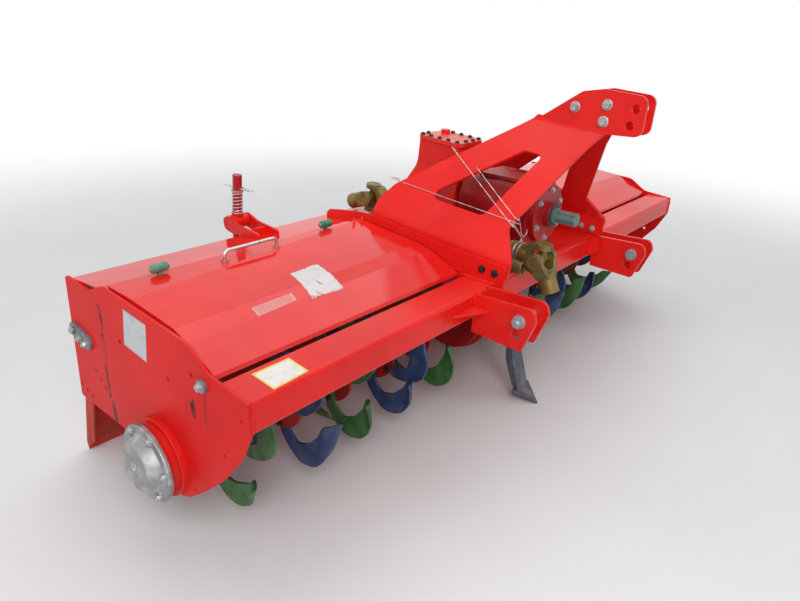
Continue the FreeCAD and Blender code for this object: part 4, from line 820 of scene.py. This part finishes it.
# Stored drive shaft: yellow-passivated forged yokes with their crosses, tied to the mast
# plate with thin wire. The cross bearings sit in their ears behind spring rings.
olive_zinc, shader, place = new_finish("olive_zinc")
tone = place.cloud(0.04, 4).between(0.38, 0.64)
oily = place.cloud(0.02, 6).between(0.48, 0.66)
bright = place.edges(0.0022)
colour = tone.mix((0.235, 0.165, 0.040, 1), (0.150, 0.115, 0.034, 1))
colour = (oily * 0.55).mix(colour, (0.065, 0.050, 0.022, 1))
lay_on(shader, Base_Color=(bright * 0.5).mix(colour, (0.42, 0.36, 0.20, 1)), Metallic=0.55 - oily * 0.3,
       Roughness=0.40 + oily * 0.22 + tone * 0.08,
       Normal=(place.cloud(0.0022, 3) * 0.4 + oily * 0.3).bump(0.0005, place.soft_edges(0.0022)))
wear(olive_zinc, "spare_shaft", "spare_tube")

SHAFT_X, CROSSES, BOSS_OUT = -200, ((84, 98), (785, 151.2)), 50
CUP = ((-0.5, 21.5), (0.9, 21.5), (1.3, 20.6), (1.3, 18.8), (0.5, 18.2), (0.7, 10.0), (0.7, 3.0))
bm = bmesh.new()
for y, z in CROSSES:
    for side, _ in SIDES:
        turned(bm, at(SHAFT_X + side * BOSS_OUT, y, z), Vector((side, 0, 0)), CUP, 28)
add_piece("cross_bearings", bm, olive_zinc, "frame")

tie_wire, shader, place = new_finish("tie_wire")
tarnish = place.cloud(0.02, 4).between(0.42, 0.66)
lay_on(shader, Base_Color=tarnish.mix((0.62, 0.56, 0.54, 1), (0.42, 0.30, 0.27, 1)),
       Metallic=0.55 - tarnish * 0.3, Roughness=0.34 + tarnish * 0.2, Normal=tarnish.bump(0.0001))
WIRE_R = 0.00125
KNOT = at(-204, 158, 148)
TIES = (                     # from under the web, over its edge, across its face, round the front edge
    (at(-159, 456, 337), at(-145, 465, 355), at(-158, 463, 364), at(-161, 461, 361.5), at(-270, 172, 209),
     at(-268, 163, 206), at(-262, 160, 199)),
    (at(-262, 606, 233), at(-248, 622, 250), at(-258, 623, 258), at(-263, 616, 252.5), at(-267, 170, 213),
     at(-266, 161, 210), at(-260, 158, 202)),
    (at(-166, 372, 325.5), at(-173, 358, 316), at(-182, 353, 324), at(-186, 346, 321.0), at(-257, 164, 224.5),
     at(-254, 152, 222), at(-248, 149, 214)),
)
bm = bmesh.new()
for tie in TIES:
    bar(bm, curved([*tie, KNOT], 5), WIRE_R, 6)

LOOPS, LOOP_R, LOOP_POINTS = ((158, 0.12), (168, -0.10), (174, 0.22)), 0.0296, 40    # hitch y, lean rearwards
SHAFT_SLOPE = 0.0759
(front_y, front_z), (rear_y, rear_z) = CROSSES
axis = (at(0, rear_y, rear_z) - at(0, front_y, front_z)).normalized()
across = Vector((1, 0, 0))
over = across.cross(axis)
for y, lean in LOOPS:
    middle = at(SHAFT_X, y, front_z + (y - front_y) * SHAFT_SLOPE)
    loop = []
    for i in range(LOOP_POINTS):
        a = 2 * math.pi * i / LOOP_POINTS
        loop.append(middle + (across * math.cos(a) - over * math.sin(a) + axis * lean * math.sin(a)) * LOOP_R)
    bar(bm, loop, WIRE_R, 6, closed=True)

TWIST_STEPS, TWIST_R, TWIST_PHASE, STEP_TURN, FLATNESS = 18, 0.0022, 2.1, 0.9, 0.3
TWIST_ENDS = ((-1, at(-208, 160, 133)), (1, at(-196, 160, 133)))
for way, low_end in TWIST_ENDS:
    twist = []
    for i in range(TWIST_STEPS + 1):
        off = Vector((math.cos(way * TWIST_PHASE + i * STEP_TURN), FLATNESS * math.sin(i * STEP_TURN), 0))
        twist.append(KNOT.lerp(low_end, i / TWIST_STEPS) + off * TWIST_R)
    bar(bm, twist, WIRE_R, 6)
    tail = [KNOT, KNOT + Vector((way * 0.010, -0.008, 0.012)), KNOT + Vector((way * 0.022, -0.004, 0.024))]
    bar(bm, curved(tail, 6), WIRE_R, 6)
add_piece("tie_wires", bm, tie_wire, "frame")


# The studio: a plain pale floor that takes the shadow and fades to white in the distance,
# one big soft lamp from the front left, one overhead, and an even pale sky. Shiny paint and
# metal mirror the same white that stands behind the machine.
def rays_of(tree, *kinds):
    """1 for the kinds of ray that are named, 0 for all others."""
    light_path = tree.nodes.new("ShaderNodeLightPath")
    total = Shade(tree, light_path.outputs[kinds[0]])
    for kind in kinds[1:]:
        total = total + Shade(tree, light_path.outputs[kind])
    return total.between(0.0, 1.0)


WHITE = (1, 1, 1, 1)
FADE_FROM, FADE_TO, FLOOR_HALF = 1.6, 5.5, 30        # metres from the middle
floor_paint, shader, place = new_finish("studio_floor", Roughness=0.9, Specular_IOR_Level=0.1)
soft = place.cloud(0.8, 3).between(0.2, 0.8)
lay_on(shader, Base_Color=soft.mix((0.80, 0.80, 0.79, 1), (0.84, 0.84, 0.83, 1)))
tree = floor_paint.node_tree
distance = place.node("ShaderNodeVectorMath", {"operation": "LENGTH"}, {0: place}, out="Value")
white = distance.between(FADE_FROM, FADE_TO) * rays_of(tree, "Is Camera Ray", "Is Glossy Ray")
glow = place.node("ShaderNodeEmission", {}, {"Color": WHITE, "Strength": 1.0})
surface = place.node("ShaderNodeMixShader", {}, {0: white, 1: Shade(tree, shader.outputs["BSDF"]), 2: glow})
tree.links.new(surface.socket, tree.nodes["Material Output"].inputs["Surface"])
mesh = bpy.data.meshes.new("floor")
mesh.from_pydata([(x * FLOOR_HALF, y * FLOOR_HALF, 0) for x, y in ((-1, -1), (1, -1), (1, 1), (-1, 1))],
                 [], [(0, 1, 2, 3)])
mesh.materials.append(floor_paint)
floor = bpy.data.objects.new("floor", mesh)
bpy.context.collection.objects.link(floor)

world = bpy.data.worlds.new("studio")
bpy.context.scene.world = world
world.use_nodes = True
tree = world.node_tree
seen = rays_of(tree, "Is Camera Ray", "Is Glossy Ray", "Is Transmission Ray")
sky = tree.nodes["Background"]
sky.inputs["Color"].default_value = (0.90, 0.95, 1.0, 1)
sky.inputs["Strength"].default_value = 0.44
backdrop = seen.node("ShaderNodeBackground", {}, {"Color": WHITE, "Strength": 1.0})
both = seen.node("ShaderNodeMixShader", {}, {0: seen, 1: Shade(tree, sky.outputs["Background"]), 2: backdrop})
tree.links.new(both.socket, tree.nodes["World Output"].inputs["Surface"])

LAMPS = (                    # name, watts, width, place, what it points at
    ("key", 135, 3.0, Vector((-3.4, -2.6, 3.4)), Vector((-0.4, 0, 0.4))),
    ("overhead", 70, 4.0, Vector((0.4, 0.6, 4.2)), Vector((0, 0, 0.3))),
)
for name, watts, width, stand, target in LAMPS:
    lamp = bpy.data.lights.new(name, "AREA")
    lamp.energy = watts
    lamp.size = width
    made = bpy.data.objects.new(name, lamp)
    made.location = stand
    made.rotation_euler = (target - stand).to_track_quat("-Z", "Y").to_euler()
    bpy.context.collection.objects.link(made)
